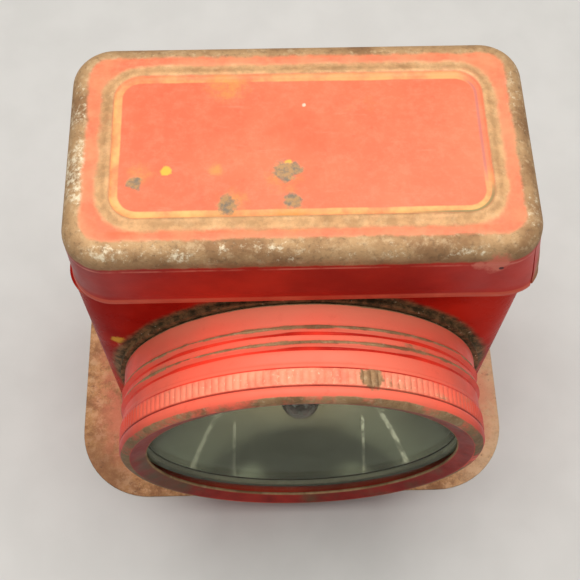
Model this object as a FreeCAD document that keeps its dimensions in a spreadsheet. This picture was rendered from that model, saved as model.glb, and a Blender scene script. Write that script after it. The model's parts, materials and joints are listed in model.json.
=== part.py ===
import FreeCAD, Part
import Sketcher
import math
import os
import re

# A pressed-steel battery lamp for a darkroom: a flat rectangular case with a
# lift-off lid stands on a wide base plate, a screwed bezel on the front holds
# a round glass over a dished reflector, and a ruby bulb screws into the middle.
# Millimetres.  Z is up, the glass faces -Y, and Z = 0 is the table.

DIMENSIONS = [
    ("sheet", 0.8, "steel sheet of the case, lid and bezel"),
    ("clearance", 0.4, "free gap between pieces that move past each other"),
    ("plate_w", 182, "base plate width"),
    ("plate_d", 124, "base plate depth"),
    ("plate_x", -1.5, "middle of the base plate, from the middle of the case"),
    ("plate_corner", 30, "base plate corner radius"),
    ("plate_thick", 1.0, "base plate thickness"),
    ("case_w", 143.2, "case width below the lid"),
    ("throat_w", 137.4, "width of the narrower rim that the lid slides over"),
    ("shoulder_z", 143.5, "step between the case and that rim"),
    ("case_d", 73.6, "case depth"),
    ("case_corner", 11.4, "case corner radius"),
    ("case_top", 167.4, "rim of the case above the table"),
    ("bead_z", 142.9, "middle of the stop bead under the lid"),
    ("bead_r", 0.6, "how far the stop bead stands out"),
    ("lid_w", 140, "lid width across its top"),
    ("lid_flare", 1.2, "how far the lid's skirt leans out at its lower edge"),
    ("lid_d", 76.2, "lid depth across its top"),
    ("lid_corner", 12.7, "lid corner radius in plan"),
    ("lid_bottom", 144, "lower edge of the lid skirt"),
    ("lid_top", 171.5, "top of the lid"),
    ("lid_round", 5.2, "rounding between the lid's top and skirt"),
    ("panel_w", 112, "panel inside the raised line on the lid"),
    ("panel_d", 50, "depth of that panel"),
    ("panel_corner", 8, "corner radius of that panel"),
    ("line_w", 1.6, "width of the raised line"),
    ("line_rise", 0.5, "height of the raised line"),
    ("slit_w", 0.9, "slit in the skirt at its right front corner"),
    ("slit_rise", 17, "height of that slit"),
    ("slit_y", -31, "where the slit is, forward of the middle"),
    ("axis_z", 78, "lens axis above the table"),
    ("boss_r", 64.6, "raised collar pressed in the case front"),
    ("boss_face", 38.4, "front of that collar, forward of the middle"),
    ("neck_r", 60.4, "outside of the threaded neck"),
    ("neck_wall", 0.8, "wall of the threaded neck"),
    ("neck_back", 36.0, "back of the neck"),
    ("neck_front", 61.6, "front of the neck"),
    ("pitch", 5, "pitch of the rolled thread"),
    ("thread_w", 1.8, "width of one thread ridge"),
    ("thread_rise", 1.5, "height of one thread ridge"),
    ("thread_start", 45.95, "where the bezel thread starts"),
    ("bezel_back", 38.8, "back edge of the bezel"),
    ("bezel_r", 63.0, "outside of the bezel skirt"),
    ("band_back", 58.5, "where the bezel steps up to its knurled band"),
    ("band_r", 63.5, "outside of the smooth part of that band"),
    ("knurl_back", 60.5, "back of the knurling"),
    ("knurl_front", 65.6, "front of the knurling"),
    ("knurl_r", 63.9, "crests of the knurling"),
    ("rim_back", 66.3, "back of the front rim"),
    ("rim_front", 68.4, "where the front rim starts to round over"),
    ("bezel_front", 70.5, "foremost line of the bezel"),
    ("crest_r", 60.9, "radius of that line"),
    ("window_r", 54.3, "cut edge of the bezel around the glass"),
    ("window_face", 68.4, "how far forward the cut edge is"),
    ("glass_r", 57.15, "lens glass radius"),
    ("glass_front", 67.3, "front face of the glass"),
    ("glass_thick", 3.2, "thickness of the glass"),
    ("gasket_thick", 1.6, "thickness of the ring behind the glass"),
    ("gasket_inner", 55.3, "inside radius of that ring"),
    ("gasket_outer", 58.4, "outside radius of that ring"),
    ("dish_r", 55, "mouth radius of the reflector"),
    ("dish_curve", 67.3, "radius of the reflector's curve"),
    ("dish_back", 33.5, "back of the reflector's curve"),
    ("dish_wall", 0.5, "reflector sheet"),
    ("globe_r", 7.15, "bulb globe radius"),
    ("globe_z", 47.6, "middle of the globe, forward of the middle"),
    ("globe_wall", 0.5, "bulb glass thickness"),
    ("cap_r", 4.35, "root radius of the bulb's screw cap"),
    ("cap_front", 41.5, "front of the screw cap"),
    ("cap_back", 30.6, "back of the screw cap"),
    ("cap_pitch", 1.81, "pitch of the bulb thread"),
    ("socket_r", 5.3, "outside of the socket shell"),
    ("socket_wall", 0.4, "wall of the socket shell"),
    ("socket_front", 39.4, "front of the socket shell"),
    ("socket_back", 27.0, "back of the socket shell"),
    ("cell_r", 33, "battery cell radius over its jacket"),
    ("cell_x", 33.4, "cell axis, left and right of the middle"),
    ("cell_y", 2.6, "cell axis behind the middle"),
    ("cell_top", 153, "top edge of the cell jackets"),
    ("jacket_wall", 0.8, "card jacket of a cell"),
    ("pad_thick", 1.5, "felt pad under a cell"),
    ("post_r", 2.4, "terminal post radius"),
    ("nut_r", 5, "terminal nut radius"),
    ("nut_tall", 4.5, "terminal nut height"),
    ("switch_z", 112, "middle of the switch above the table"),
    ("switch_travel", 9, "travel of the switch knob"),
    ("switch_w", 16, "width of the switch plate"),
    ("switch_tall", 44, "height of the switch plate"),
    ("wire_r", 1.2, "insulated lead radius"),
]

KNURLS = 168              # notches round the knurled band

doc = FreeCAD.newDocument("safelight")
sheet = doc.addObject("Spreadsheet::Sheet", "dims")
ALIASES = set()
for row, (alias, number, meaning) in enumerate(DIMENSIONS, 1):
    sheet.set("A%d" % row, alias)
    sheet.set("B%d" % row, str(number))
    sheet.setAlias("B%d" % row, alias)
    sheet.set("C%d" % row, meaning)
    ALIASES.add(alias)
doc.recompute()

V = FreeCAD.Vector
NODES = []


# ---------------------------------------------------------------- helpers

def formula(words):
    """Turn 'lid_w / 2 - sheet' into an expression on the sheet's aliases."""
    def point_at_sheet(match):
        word = match.group(0)
        return "dims." + word if word in ALIASES else word
    return re.sub(r"[a-z_][a-z_0-9]*", point_at_sheet, str(words))


def value(words):
    """The number a formula gives now."""
    return float(sheet.evalExpression(formula(words)))


def keep(node, label):
    """Name a finished sub-part and put it on the list to be written."""
    node.Label = label
    NODES.append(node)
    return node


def new_body(label):
    return keep(doc.addObject("PartDesign::Body", label), label)


def face_forward(body):
    """Stand a body on the lens axis, with its own +Z pointing forward."""
    body.Placement = FreeCAD.Placement(V(0, 0, value("axis_z")), FreeCAD.Rotation(V(1, 0, 0), 90))
    body.setExpression("Placement.Base.z", formula("axis_z"))
    return body


def plane_of(body, role):
    for feature in body.Origin.OriginFeatures:
        if feature.Role == role:
            return feature
    raise ValueError("no plane " + role)


def new_sketch(body, name, plane, offset="0"):
    sketch = body.newObject("Sketcher::SketchObject", name)
    sketch.AttachmentSupport = [(plane_of(body, plane), "")]
    sketch.MapMode = "FlatFace"
    sketch.setExpression("AttachmentOffset.Base.z", formula(offset))
    return sketch


def bind(sketch, constraint, name, words):
    """Add a named size to a sketch and drive it from the sheet."""
    index = sketch.addConstraint(constraint)
    sketch.renameConstraint(index, name)
    sketch.setExpression("Constraints." + name, formula(words))


def fix_point(sketch, edge, end, name, x_words, y_words):
    bind(sketch, Sketcher.Constraint("DistanceX", -1, 1, edge, end, value(x_words)), name + "_x", x_words)
    bind(sketch, Sketcher.Constraint("DistanceY", -1, 1, edge, end, value(y_words)), name + "_y", y_words)


def arc_between(start, end, radius):
    """Shorter arc from start to end; a positive radius turns left."""
    chord = end - start
    middle = (start + end) * 0.5
    left = V(-chord.y, chord.x, 0).normalize()
    reach = math.sqrt(max(radius * radius - chord.Length ** 2 / 4, 0))
    centre = middle + left * math.copysign(reach, radius)
    first = math.atan2(start.y - centre.y, start.x - centre.x)
    last = math.atan2(end.y - centre.y, end.x - centre.x)
    if radius < 0:
        first, last = last, first
    return Part.ArcOfCircle(Part.Circle(centre, V(0, 0, 1), abs(radius)), first, last)


def add_outline(sketch, name, corners):
    """Closed outline.  A corner is (x, y), or (x, y, r) where an arc of radius r leaves it."""
    points = [V(value(corner[0]), value(corner[1]), 0) for corner in corners]
    ends = []
    for number, corner in enumerate(corners):
        start = points[number]
        end = points[(number + 1) % len(points)]
        if len(corner) == 3:
            radius = value(corner[2])
            edge = sketch.addGeometry(arc_between(start, end, radius), False)
            ends.append((edge, 1, 2) if radius > 0 else (edge, 2, 1))
        else:
            edge = sketch.addGeometry(Part.LineSegment(start, end), False)
            ends.append((edge, 1, 2))
    for number, corner in enumerate(corners):
        edge, first, last = ends[number]
        following = ends[(number + 1) % len(ends)]
        sketch.addConstraint(Sketcher.Constraint("Coincident", edge, last, following[0], following[1]))
        fix_point(sketch, edge, first, "%s%d" % (name, number), corner[0], corner[1])
        if len(corner) == 3:
            size = "abs(%s)" % corner[2]
            round_off = Sketcher.Constraint("Radius", edge, abs(value(corner[2])))
            bind(sketch, round_off, "%s%d_r" % (name, number), size)


def add_circle(sketch, name, x_words, y_words, r_words):
    centre = V(value(x_words), value(y_words), 0)
    edge = sketch.addGeometry(Part.Circle(centre, V(0, 0, 1), value(r_words)), False)
    bind(sketch, Sketcher.Constraint("Radius", edge, value(r_words)), name + "_r", r_words)
    fix_point(sketch, edge, 3, name, x_words, y_words)


def add_rounded_rectangle(sketch, name, width, depth, corner, x_words="0", y_words="0"):
    """Rectangle with quarter-circle corners, walked anticlockwise."""
    right = "%s + (%s) / 2" % (x_words, width)
    left = "%s - (%s) / 2" % (x_words, width)
    back = "%s + (%s) / 2" % (y_words, depth)
    front = "%s - (%s) / 2" % (y_words, depth)
    inward = " - (%s)" % corner
    outward = " + (%s)" % corner
    add_outline(sketch, name, [
        (left + outward, front), (right + inward, front, corner),
        (right, front + outward), (right, back + inward, corner),
        (right + inward, back), (left + outward, back, corner),
        (left, back + inward), (left, front + outward, corner),
    ])


def pad(body, name, sketch, length):
    feature = body.newObject("PartDesign::Pad", name)
    feature.Profile = sketch
    feature.setExpression("Length", formula(length))
    doc.recompute()
    return feature


def pocket(body, name, sketch, depth, reversed_way=False):
    """Cut a sketch into a body, and stop if the cut removed nothing."""
    before = body.Shape.Volume
    feature = body.newObject("PartDesign::Pocket", name)
    feature.Profile = sketch
    feature.setExpression("Length", formula(depth))
    feature.Reversed = reversed_way
    doc.recompute()
    if body.Shape.Volume >= before - 1e-6:
        raise ValueError(name + " cuts nothing")
    return feature


def revolve(body, name, corners, cut=False):
    """Turn an outline of (radius, height) corners about the body's Z axis."""
    sketch = new_sketch(body, name + "_section", "XZ_Plane")
    add_outline(sketch, "p", corners)
    kind = "PartDesign::Groove" if cut else "PartDesign::Revolution"
    feature = body.newObject(kind, name)
    feature.Profile = sketch
    feature.ReferenceAxis = (sketch, ["V_Axis"])
    feature.Angle = 360
    doc.recompute()
    return feature


def helix(body, name, corners, lead, height):
    """Run a small section of (radius, height) corners round the body's Z axis as a thread."""
    sketch = new_sketch(body, name + "_section", "XZ_Plane")
    add_outline(sketch, "p", corners)
    feature = body.newObject("PartDesign::AdditiveHelix", name)
    feature.Profile = sketch
    feature.ReferenceAxis = (sketch, ["V_Axis"])
    feature.Mode = 0
    feature.setExpression("Pitch", formula(lead))
    feature.setExpression("Height", formula(height))
    doc.recompute()
    return feature


def soften(body, name, radius, wanted):
    """Fillet those edges of a body for which wanted(edge) is true."""
    edges = ["Edge%d" % (number + 1) for number, edge in enumerate(body.Shape.Edges) if wanted(edge)]
    before = body.Tip
    feature = body.newObject("PartDesign::Fillet", name)
    feature.Base = (before, edges)
    feature.setExpression("Radius", formula(radius))
    doc.recompute()
    return feature


def lies_at(edge, height):
    box = edge.BoundBox
    return abs(box.ZMin - height) < 1e-4 and abs(box.ZMax - height) < 1e-4


def upright_cylinder(name, radius, height, x_words, y_words, z_words):
    shape = doc.addObject("Part::Cylinder", name)
    shape.setExpression("Radius", formula(radius))
    shape.setExpression("Height", formula(height))
    shape.setExpression("Placement.Base.x", formula(x_words))
    shape.setExpression("Placement.Base.y", formula(y_words))
    shape.setExpression("Placement.Base.z", formula(z_words))
    return shape


def box(name, width, depth, height, x_words, y_words, z_words):
    shape = doc.addObject("Part::Box", name)
    shape.setExpression("Length", formula(width))
    shape.setExpression("Width", formula(depth))
    shape.setExpression("Height", formula(height))
    shape.setExpression("Placement.Base.x", formula(x_words))
    shape.setExpression("Placement.Base.y", formula(y_words))
    shape.setExpression("Placement.Base.z", formula(z_words))
    return shape


def cut(name, base, tool):
    shape = doc.addObject("Part::Cut", name)
    shape.Base = base
    shape.Tool = tool
    doc.recompute()
    return shape


def fuse(name, pieces):
    shape = doc.addObject("Part::MultiFuse", name)
    shape.Shapes = pieces
    doc.recompute()
    return shape


def group(name, pieces):
    """Identical separate solids that share one node."""
    shape = doc.addObject("Part::Compound", name)
    shape.Links = pieces
    doc.recompute()
    return keep(shape, name)


# ---------------------------------------------------------------- base and case

FLOOR = "plate_thick"
INSIDE_FLOOR = "(plate_thick + sheet)"
RIVET_SPOTS = [(60, 30), (-60, 30), (60, -30), (-60, -30)]
RIVET_R = 1.6
RIVET_HEAD_R = 3.0
RIVET_HEAD = 1.2


def make_base_plate():
    body = new_body("base_plate")
    outline = new_sketch(body, "outline", "XY_Plane")
    add_rounded_rectangle(outline, "p", "plate_w", "plate_d", "plate_corner", "plate_x")
    pad(body, "plate", outline, "plate_thick")
    holes = new_sketch(body, "rivet_holes", "XY_Plane")
    for number, (x, y) in enumerate(RIVET_SPOTS):
        add_circle(holes, "c%d" % number, x, y, RIVET_R)
    pocket(body, "rivet_hole_cut", holes, "plate_thick", True)


def make_base_rivets():
    pieces = []
    for number, (x, y) in enumerate(RIVET_SPOTS):
        shank = upright_cylinder("rivet_shank%d" % number, RIVET_R, INSIDE_FLOOR, x, y, 0)
        head = upright_cylinder("rivet_head%d" % number, RIVET_HEAD_R, RIVET_HEAD, x, y, INSIDE_FLOOR)
        pieces.append(fuse("rivet%d" % number, [shank, head]))
    group("base_rivets", pieces)


def make_housing():
    body = new_body("housing")
    outline = new_sketch(body, "outline", "XY_Plane", FLOOR)
    add_rounded_rectangle(outline, "p", "case_w", "case_d", "case_corner")
    pad(body, "block", outline, "shoulder_z - plate_thick")
    rim = new_sketch(body, "rim_outline", "XY_Plane", "shoulder_z - sheet")
    add_rounded_rectangle(rim, "p", "throat_w", "case_d", "case_corner")
    pad(body, "rim", rim, "case_top - shoulder_z + sheet")

    bead = new_sketch(body, "bead_outline", "XY_Plane", "bead_z - bead_r")
    add_rounded_rectangle(bead, "p", "case_w + 2 * bead_r", "case_d + 2 * bead_r", "case_corner + bead_r")
    pad(body, "bead", bead, "2 * bead_r")
    bead_top = value("bead_z + bead_r")
    bead_foot = value("bead_z - bead_r")
    half_d = value("case_d / 2 + bead_r")
    half_w = value("case_w / 2 + bead_r")

    def on_bead(edge):
        level = lies_at(edge, bead_top) or lies_at(edge, bead_foot)
        reach = max(abs(edge.BoundBox.YMin), abs(edge.BoundBox.YMax))
        spread = max(abs(edge.BoundBox.XMin), abs(edge.BoundBox.XMax))
        return level and (reach > half_d - 1e-4 or spread > half_w - 1e-4)
    soften(body, "bead_round", "bead_r * 0.8", on_bead)

    boss = new_sketch(body, "boss_outline", "XZ_Plane", "case_d / 2 - case_corner")
    add_circle(boss, "c", "0", "axis_z", "boss_r")
    pad(body, "boss", boss, "boss_face - case_d / 2 + case_corner")

    inside = new_sketch(body, "inside_outline", "XY_Plane", "shoulder_z - sheet")
    add_rounded_rectangle(inside, "p", "case_w - 2 * sheet", "case_d - 2 * sheet", "case_corner - sheet")
    pocket(body, "inside", inside, "shoulder_z - plate_thick - 2 * sheet")
    throat = new_sketch(body, "throat_outline", "XY_Plane", "case_top")
    add_rounded_rectangle(throat, "p", "throat_w - 2 * sheet", "case_d - 2 * sheet", "case_corner - sheet")
    pocket(body, "throat", throat, "case_top - shoulder_z + 2 * sheet")

    mouth = new_sketch(body, "mouth_outline", "XZ_Plane", "boss_face")
    add_circle(mouth, "c", "0", "axis_z", "neck_r + 0.05")
    pocket(body, "mouth", mouth, "4")

    slot = new_sketch(body, "switch_slot_outline", "XZ_Plane", "-case_d / 2 - 1")
    add_rounded_rectangle(slot, "p", SLOT_W, SLOT_TALL, SLOT_CORNER, "0", "switch_z")
    pocket(body, "switch_slot", slot, "3", True)

    holes = new_sketch(body, "rivet_holes", "XY_Plane", FLOOR)
    for number, (x, y) in enumerate(RIVET_SPOTS):
        add_circle(holes, "c%d" % number, x, y, RIVET_R)
    pocket(body, "rivet_hole_cut", holes, "sheet", True)

    screws = new_sketch(body, "plate_holes", "XZ_Plane", "-case_d / 2 - 1")
    add_switch_rivet_holes(screws)
    pocket(body, "plate_hole_cut", screws, "3", True)


# ---------------------------------------------------------------- lid

LID_LEAN = "-atan(lid_flare / (lid_top - lid_bottom))"


def leaning_block(name, inset, top, rounding):
    """A block with rounded shoulders whose sides lean in towards its top, inset from the lid's outside."""
    body = doc.addObject("PartDesign::Body", name)
    outline = new_sketch(body, name + "_outline", "XY_Plane", "lid_bottom")
    add_rounded_rectangle(outline, "p", "lid_w + 2 * lid_flare - 2 * " + inset,
                          "lid_d + 2 * lid_flare - 2 * " + inset, "lid_corner + lid_flare - " + inset)
    block = pad(body, name + "_block", outline, top + " - lid_bottom")
    block.setExpression("TaperAngle", formula(LID_LEAN))
    doc.recompute()
    height = value(top)
    soften(body, name + "_shoulder", rounding, lambda edge: lies_at(edge, height))
    return body


def make_lid():
    outside = leaning_block("lid_outside", "0", "lid_top", "lid_round")
    line = new_sketch(outside, "line_outline", "XY_Plane", "lid_top - 0.1")
    add_rounded_rectangle(line, "a", "panel_w + 2 * line_w", "panel_d + 2 * line_w", "panel_corner + line_w")
    add_rounded_rectangle(line, "b", "panel_w", "panel_d", "panel_corner")
    pad(outside, "line", line, "line_rise + 0.1")

    slit = new_sketch(outside, "slit_outline", "YZ_Plane", "lid_w / 2 + lid_flare + 1")
    add_rounded_rectangle(slit, "p", "slit_w", "slit_rise + 2", "slit_w / 2 - 0.02",
                          "slit_y", "lid_bottom + slit_rise / 2 - 1")
    pocket(outside, "slit", slit, "lid_corner / 2 + lid_flare")

    inside = leaning_block("lid_inside", "sheet", "lid_top - sheet", "lid_round - sheet")
    keep(cut("lid_shell", outside, inside), "lid")


def make_lid_card():
    body = new_body("lid_card")
    outline = new_sketch(body, "outline", "XY_Plane", "lid_top - sheet - 1.1")
    add_rounded_rectangle(outline, "p", "throat_w - 12", "case_d - 12", "case_corner - 2")
    pad(body, "card", outline, "1")


# ---------------------------------------------------------------- bezel, neck and glass

def ridge(inner, outer, middle, width):
    """Section of a thread ridge that narrows towards its crest."""
    half = "(%s) / 2" % width
    quarter = "(%s) / 4" % width
    return [(inner, "%s - %s" % (middle, half)), (outer, "%s - %s" % (middle, quarter)),
            (outer, "%s + %s" % (middle, quarter)), (inner, "%s + %s" % (middle, half))]


def make_neck():
    body = face_forward(new_body("neck"))
    flange = "neck_r + 1.4"
    revolve(body, "tube", [
        ("neck_r - neck_wall", "neck_back"), ("neck_r", "neck_back"),
        ("neck_r", "boss_face"), (flange, "boss_face"),
        (flange, "boss_face + sheet"), ("neck_r", "boss_face + sheet"),
        ("neck_r", "neck_front"), ("neck_r - neck_wall", "neck_front"),
    ])
    helix(body, "thread", ridge("neck_r - 0.3", "neck_r + thread_rise", "thread_start", "thread_w"),
          "pitch", "2 * pitch")


def make_bezel():
    body = face_forward(new_body("bezel"))
    revolve(body, "wall", [
        ("bezel_r - sheet", "bezel_back"), ("bezel_r", "bezel_back"),
        ("bezel_r", "band_back"), ("band_r", "band_back + 0.6"),
        ("band_r", "knurl_back"), ("knurl_r", "knurl_back + 0.3"),
        ("knurl_r", "knurl_front"), ("band_r - 0.3", "knurl_front + 0.3"),
        ("band_r - 0.3", "rim_back - 0.2"), ("knurl_r - 0.1", "rim_back"),
        ("knurl_r - 0.1", "rim_front", "3.2"), ("crest_r", "bezel_front"),
        ("crest_r - 1.6", "bezel_front - 0.4"), ("window_r", "window_face"),
        ("window_r", "window_face - sheet"), ("crest_r - 1.6", "bezel_front - 0.4 - sheet"),
        ("crest_r - 0.2", "bezel_front - sheet", "-2.6"), ("knurl_r - 0.1 - sheet", "rim_front - 0.3"),
        ("knurl_r - 0.1 - sheet", "rim_back"), ("band_r - sheet", "band_back + 0.9"),
        ("bezel_r - sheet", "band_back + 0.3"),
    ])
    helix(body, "outer_thread", ridge("bezel_r - 0.3", "bezel_r + 0.8", "thread_start", "thread_w"),
          "pitch", "2 * pitch")
    inner_ridge = ridge("bezel_r - sheet + 0.3", "neck_r + clearance", "thread_start + pitch / 2", "thread_w")
    helix(body, "inner_thread", inner_ridge, "pitch", "1.5 * pitch")
    notch = new_sketch(body, "knurl_notch", "XY_Plane", "knurl_back")
    half = "(knurl_r * pi / %d)" % KNURLS
    add_outline(notch, "p", [("knurl_r - 0.45", "0"), ("knurl_r + 0.2", "-0.62 * " + half),
                             ("knurl_r + 0.2", "0.62 * " + half)])
    groove = pocket(body, "knurl_cut", notch, "knurl_front - knurl_back", True)
    pattern = body.newObject("PartDesign::PolarPattern", "knurls")
    pattern.Originals = [groove]
    pattern.Axis = (notch, ["N_Axis"])
    pattern.Angle = 360
    pattern.Occurrences = KNURLS
    body.Tip = pattern
    doc.recompute()


def make_lens_glass():
    body = face_forward(new_body("lens_glass"))
    bevel = "0.5"
    revolve(body, "disc", [
        ("0", "glass_front - glass_thick"), ("glass_r - " + bevel, "glass_front - glass_thick"),
        ("glass_r", "glass_front - glass_thick + " + bevel), ("glass_r", "glass_front - " + bevel),
        ("glass_r - " + bevel, "glass_front"), ("0", "glass_front"),
    ])


def make_lens_gasket():
    body = face_forward(new_body("lens_gasket"))
    back = "glass_front - glass_thick - gasket_thick"
    front = "glass_front - glass_thick"
    revolve(body, "ring", [("gasket_inner", back), ("gasket_outer", back),
                           ("gasket_outer", front), ("gasket_inner", front)])


def make_reflector():
    """A dished mirror with a flat lip on the neck's front edge and a hole for the socket."""
    body = face_forward(new_body("reflector"))
    hole = "(socket_r + 0.1)"
    lip_back = "neck_front"
    lip_front = "neck_front + dish_wall"
    inner_at = "dish_back + dish_curve - sqrt(dish_curve ^ 2 - (%s) ^ 2)"
    outer_at = "dish_back + dish_curve - sqrt((dish_curve + dish_wall) ^ 2 - (%s) ^ 2)"
    revolve(body, "dish", [
        (hole, inner_at % hole, "dish_curve"), ("dish_r", inner_at % "dish_r"),
        ("dish_r", lip_front), ("neck_r - 0.2", lip_front), ("neck_r - 0.2", lip_back),
        ("dish_r + dish_wall", lip_back),
        ("dish_r + dish_wall", outer_at % "(dish_r + dish_wall)", "-(dish_curve + dish_wall)"),
        (hole, outer_at % hole),
    ])


# ---------------------------------------------------------------- bulb and socket

def make_socket_shell():
    body = face_forward(new_body("socket_shell"))
    inner = "socket_r - socket_wall"
    lip = "socket_r + 2.6"
    lip_front = "dish_back - 0.4"
    revolve(body, "tube", [
        (inner, "socket_back"), ("socket_r", "socket_back"),
        ("socket_r", lip_front + " - 0.6"), (lip, lip_front + " - 0.6"), (lip, lip_front),
        ("socket_r", lip_front), ("socket_r", "socket_front"), (inner, "socket_front"),
    ])
    helix(body, "thread", ridge("socket_r - socket_wall + 0.1", "cap_r + 0.1", "socket_back + 3.2", "0.5"),
          "cap_pitch", "4 * cap_pitch")


def make_socket_disc():
    body = face_forward(new_body("socket_disc"))
    revolve(body, "disc", [
        ("1.6", "socket_back - 1.6"), ("socket_r + 2.6", "socket_back - 1.6"),
        ("socket_r + 2.6", "socket_back"), ("1.6", "socket_back"),
    ])


def make_socket_rivet():
    body = face_forward(new_body("socket_rivet"))
    revolve(body, "pin", [
        ("0", "socket_back - 2.6"), ("2.6", "socket_back - 2.6"), ("2.6", "socket_back - 1.6"),
        ("1.6", "socket_back - 1.6"), ("1.6", "socket_back"), ("2.4", "socket_back"),
        ("2.4", "socket_back + 1.2"), ("0", "socket_back + 1.2"),
    ])


def make_bulb_cap():
    body = face_forward(new_body("bulb_cap"))
    inner = "cap_r - 0.4"
    revolve(body, "shell", [
        ("2.4", "cap_back"), ("cap_r - 0.6", "cap_back"), ("cap_r", "cap_back + 0.6"),
        ("cap_r", "cap_front"), (inner, "cap_front"),
        (inner, "cap_back + 1.2"), ("2.4", "cap_back + 1.2"),
    ])
    helix(body, "thread", ridge("cap_r - 0.1", "cap_r + 0.45", "socket_back + 3.2 + 1.5 * cap_pitch", "0.5"),
          "cap_pitch", "4 * cap_pitch")


def make_bulb_globe():
    """Blown globe with a straight neck that sits in the cap."""
    body = face_forward(new_body("bulb_globe"))
    neck = "cap_r - 0.45"
    bore = "(cap_r - 0.45 - globe_wall)"
    hollow = "(globe_r - globe_wall)"
    joint_out = "globe_z - sqrt(globe_r ^ 2 - (%s) ^ 2)" % neck
    joint_in = "globe_z - sqrt(%s ^ 2 - %s ^ 2)" % (hollow, bore)
    foot = "cap_back + 3.4"
    revolve(body, "glass", [
        (neck, foot), (neck, joint_out, "globe_r"), ("globe_r", "globe_z", "globe_r"),
        ("0", "globe_z + globe_r"), ("0", "globe_z + " + hollow, "-" + hollow),
        (hollow, "globe_z", "-" + hollow), (bore, joint_in), (bore, foot),
    ])


def make_bulb_stem():
    """Glass stem closing the globe, with the two wires that carry the filament."""
    body = face_forward(new_body("bulb_stem"))
    bore = "cap_r - 0.5 - globe_wall"
    revolve(body, "stem", [
        ("0", "cap_back + 3.6"), (bore, "cap_back + 3.6"), (bore, "cap_back + 5"),
        ("1.2", "cap_back + 6.6"), ("1.2", "cap_front - 1.2"), ("0", "cap_front - 1.2"),
    ])


def pipe_through(points, radius, bend):
    """Round bar that runs straight between points and turns each corner on an arc."""
    edges = []
    here = points[0]
    for number in range(1, len(points) - 1):
        corner = points[number]
        arriving = (corner - points[number - 1]).normalize()
        leaving = (points[number + 1] - corner).normalize()
        half_turn = arriving.getAngle(leaving) / 2
        trim = bend * math.tan(half_turn)
        start = corner - arriving * trim
        end = corner + leaving * trim
        outward = (arriving - leaving).normalize()
        middle = corner - outward * (bend / math.cos(half_turn) - bend)
        edges.append(Part.makeLine(here, start))
        edges.append(Part.Arc(start, middle, end).toShape())
        here = end
    edges.append(Part.makeLine(here, points[-1]))
    path = Part.Wire(edges)
    ring = Part.Wire([Part.makeCircle(radius, points[0], (points[1] - points[0]).normalize())])
    shape = path.makePipeShell([ring], True, True)
    return shape


def make_filament():
    """Two support wires out of the stem, joined by the filament across their tips."""
    node = doc.addObject("Part::Feature", "bulb_filament")
    spread = 2.2
    foot = value("cap_front") - 1.2
    tip = value("globe_z")
    points = [V(-0.6, 0, foot), V(-spread, 0, foot + 2.4), V(-spread, 0, tip),
              V(spread, 0, tip), V(spread, 0, foot + 2.4), V(0.6, 0, foot)]
    node.Shape = pipe_through(points, 0.15, 0.5)
    node.Placement = FreeCAD.Placement(V(0, 0, value("axis_z")), FreeCAD.Rotation(V(1, 0, 0), 90))
    keep(node, "bulb_filament")


def make_bulb_tip():
    body = face_forward(new_body("bulb_tip"))
    tip_back = "socket_back + 1.2 + clearance"
    revolve(body, "solder", [
        ("0", tip_back), ("1.4", tip_back), ("2.2", tip_back + " + 0.8"),
        ("2.2", "cap_back + 1"), ("0", "cap_back + 1"),
    ])


# ---------------------------------------------------------------- cells and wiring

SIDES = (("left", -1), ("right", 1))
CELL_FOOT = "(plate_thick + sheet + pad_thick)"


def at_cell(side, extra_x="0"):
    return "%d * cell_x + %s" % (side, extra_x)


def for_each_cell(label, radius, height, foot, bore=None):
    """One round solid per cell, bored through where a bore is given."""
    pieces = []
    for word, side in SIDES:
        solid = upright_cylinder("%s_%s" % (label, word), radius, height, at_cell(side), "cell_y", foot)
        if bore:
            hole = upright_cylinder("%s_bore_%s" % (label, word), bore, height + " + 2",
                                    at_cell(side), "cell_y", foot + " - 1")
            solid = cut("%s_tube_%s" % (label, word), solid, hole)
        pieces.append(solid)
    return group(label, pieces)


def make_cells():
    for_each_cell("cell_pads", "cell_r", "pad_thick", INSIDE_FLOOR)
    for_each_cell("cell_jackets", "cell_r", "cell_top - " + CELL_FOOT, CELL_FOOT, "(cell_r - jacket_wall)")
    for_each_cell("cell_cans", "cell_r - jacket_wall - 0.05", "cell_top - 6 - " + CELL_FOOT, CELL_FOOT)
    for_each_cell("cell_seals", "cell_r - jacket_wall - 0.05", "4", "cell_top - 6", "(post_r + 3)")
    for_each_cell("cell_carbons", "post_r + 2.9", "5.5", "cell_top - 6")


def threaded_post(name, x_words, foot, height):
    return upright_cylinder(name, "post_r", height, x_words, "cell_y", foot)


def make_terminals():
    """A post on each carbon and one near each jacket's inner or outer edge, all with round nuts."""
    posts = []
    nuts = []
    washers_z = "cell_top + 1.2"
    for word, side in SIDES:
        centre = at_cell(side)
        edge = at_cell(side, "-1 * (cell_r - 10)")
        posts.append(threaded_post("post_%s_mid" % word, centre, "cell_top - 0.5", "9.5"))
        posts.append(threaded_post("post_%s_edge" % word, edge, "cell_top - 2", "11"))
        for spot, x_words in (("mid", centre), ("edge", edge)):
            nut = upright_cylinder("nut_%s_%s" % (word, spot), "nut_r", "nut_tall",
                                   x_words, "cell_y", washers_z)
            hole = upright_cylinder("nut_hole_%s_%s" % (word, spot), "post_r", "nut_tall + 2",
                                    x_words, "cell_y", "cell_top")
            nuts.append(cut("nut_ring_%s_%s" % (word, spot), nut, hole))
    group("terminal_posts", posts)
    group("terminal_nuts", nuts)


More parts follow.
